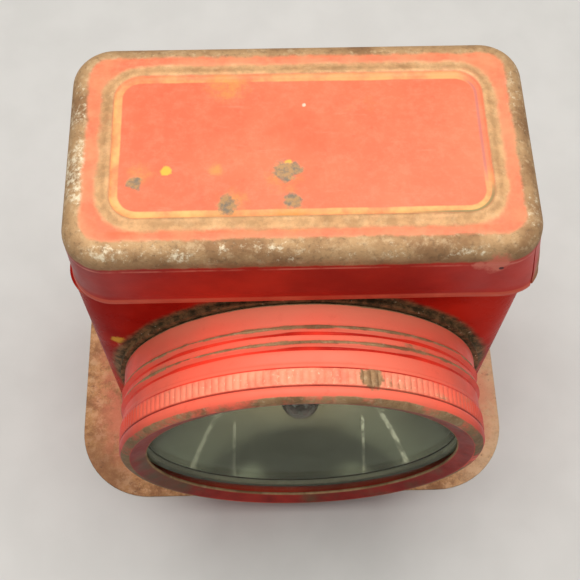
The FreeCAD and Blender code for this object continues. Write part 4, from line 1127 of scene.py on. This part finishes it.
def make_floor():
    """Flat floor that curves up into a backdrop far behind."""
    rows = [(-FLOOR_HALF, 0), (BACKDROP_START, 0)]
    for step in range(1, BACKDROP_STEPS + 1):
        turn = math.pi / 2 * step / BACKDROP_STEPS
        rows.append((BACKDROP_START + BACKDROP_ROUND * math.sin(turn), BACKDROP_ROUND * (1 - math.cos(turn))))
    rows.append((BACKDROP_START + BACKDROP_ROUND, BACKDROP_TOP))
    points = []
    for y, z in rows:
        points.append((-FLOOR_HALF, y, z))
        points.append((FLOOR_HALF, y, z))
    faces = [(2 * row, 2 * row + 1, 2 * row + 3, 2 * row + 2) for row in range(len(rows) - 1)]
    floor = mesh_object("studio_floor", points, faces)
    floor.data.shade_smooth()
    floor.data.materials.append(floor_material())


LIGHTS_AIM = (0, 0, 0.12)
WORLD_STRENGTH = 0.17


def add_softbox(name, place, width, depth, watts, colour):
    """Rectangular light that points at the lamp."""
    light = bpy.data.lights.new(name, "AREA")
    light.shape = "RECTANGLE"
    light.size = width
    light.size_y = depth
    light.energy = watts
    light.color = colour
    lamp = bpy.data.objects.new(name, light)
    lamp.location = place
    lamp.rotation_mode = "QUATERNION"
    lamp.rotation_quaternion = (Vector(LIGHTS_AIM) - Vector(place)).to_track_quat("-Z", "Y")
    scene_objects.link(lamp)


def light_stage():
    """One soft overhead light, two weak front ones and a dim warm world."""
    world = bpy.data.worlds.new("studio")
    world.use_nodes = True
    background = world.node_tree.nodes["Background"]
    background.inputs["Color"].default_value = (1, 0.98, 0.95, 1)
    background.inputs["Strength"].default_value = WORLD_STRENGTH
    bpy.context.scene.world = world
    add_softbox("overhead", (0, 0.1, 1.05), 1.1, 0.85, 13.6, (1, 0.97, 0.92))
    for name, across in (("front_fill_left", -0.65), ("front_fill_right", 0.65)):
        add_softbox(name, (across, -0.95, 0.75), 0.45, 0.8, 1.3, (1, 0.98, 0.95))


# The viewing angle: camera place from the lid's front top edge, and its turn.
CAMERA_OFFSET = Vector((-10.1, -129.7, 246.9)) * MM
CAMERA_DOWN = math.radians(64.05)
CAMERA_YAW = math.radians(2.64)
CAMERA_ROLL = math.radians(-1.15)
CAMERA_LENS = 61.6


def make_camera():
    """Camera at the photograph's viewing angle."""
    forward = Vector((math.sin(CAMERA_YAW) * math.cos(CAMERA_DOWN),
                      math.cos(CAMERA_YAW) * math.cos(CAMERA_DOWN), -math.sin(CAMERA_DOWN)))
    level_right = Vector((math.cos(CAMERA_YAW), -math.sin(CAMERA_YAW), 0))
    level_down = forward.cross(level_right)
    right = level_right * math.cos(CAMERA_ROLL) + level_down * math.sin(CAMERA_ROLL)
    down = level_down * math.cos(CAMERA_ROLL) - level_right * math.sin(CAMERA_ROLL)
    data = bpy.data.cameras.new("camera")
    data.lens = CAMERA_LENS
    data.sensor_width = 36
    data.clip_start = 0.01
    camera = bpy.data.objects.new("camera", data)
    turn = Matrix((right, -down, -forward)).transposed()
    camera.matrix_world = Matrix.Translation(Vector((0, lid_low.y, LID_TOP)) + CAMERA_OFFSET) @ turn.to_4x4()
    scene_objects.link(camera)
    bpy.context.scene.camera = camera


# ---------- build

bpy.context.scene.view_settings.view_transform = "Standard"
make_camera()
make_floor()
light_stage()
case_red = dress_cad_nodes()
make_lid()
make_bezel()
make_base_plate()
make_seam(case_red)
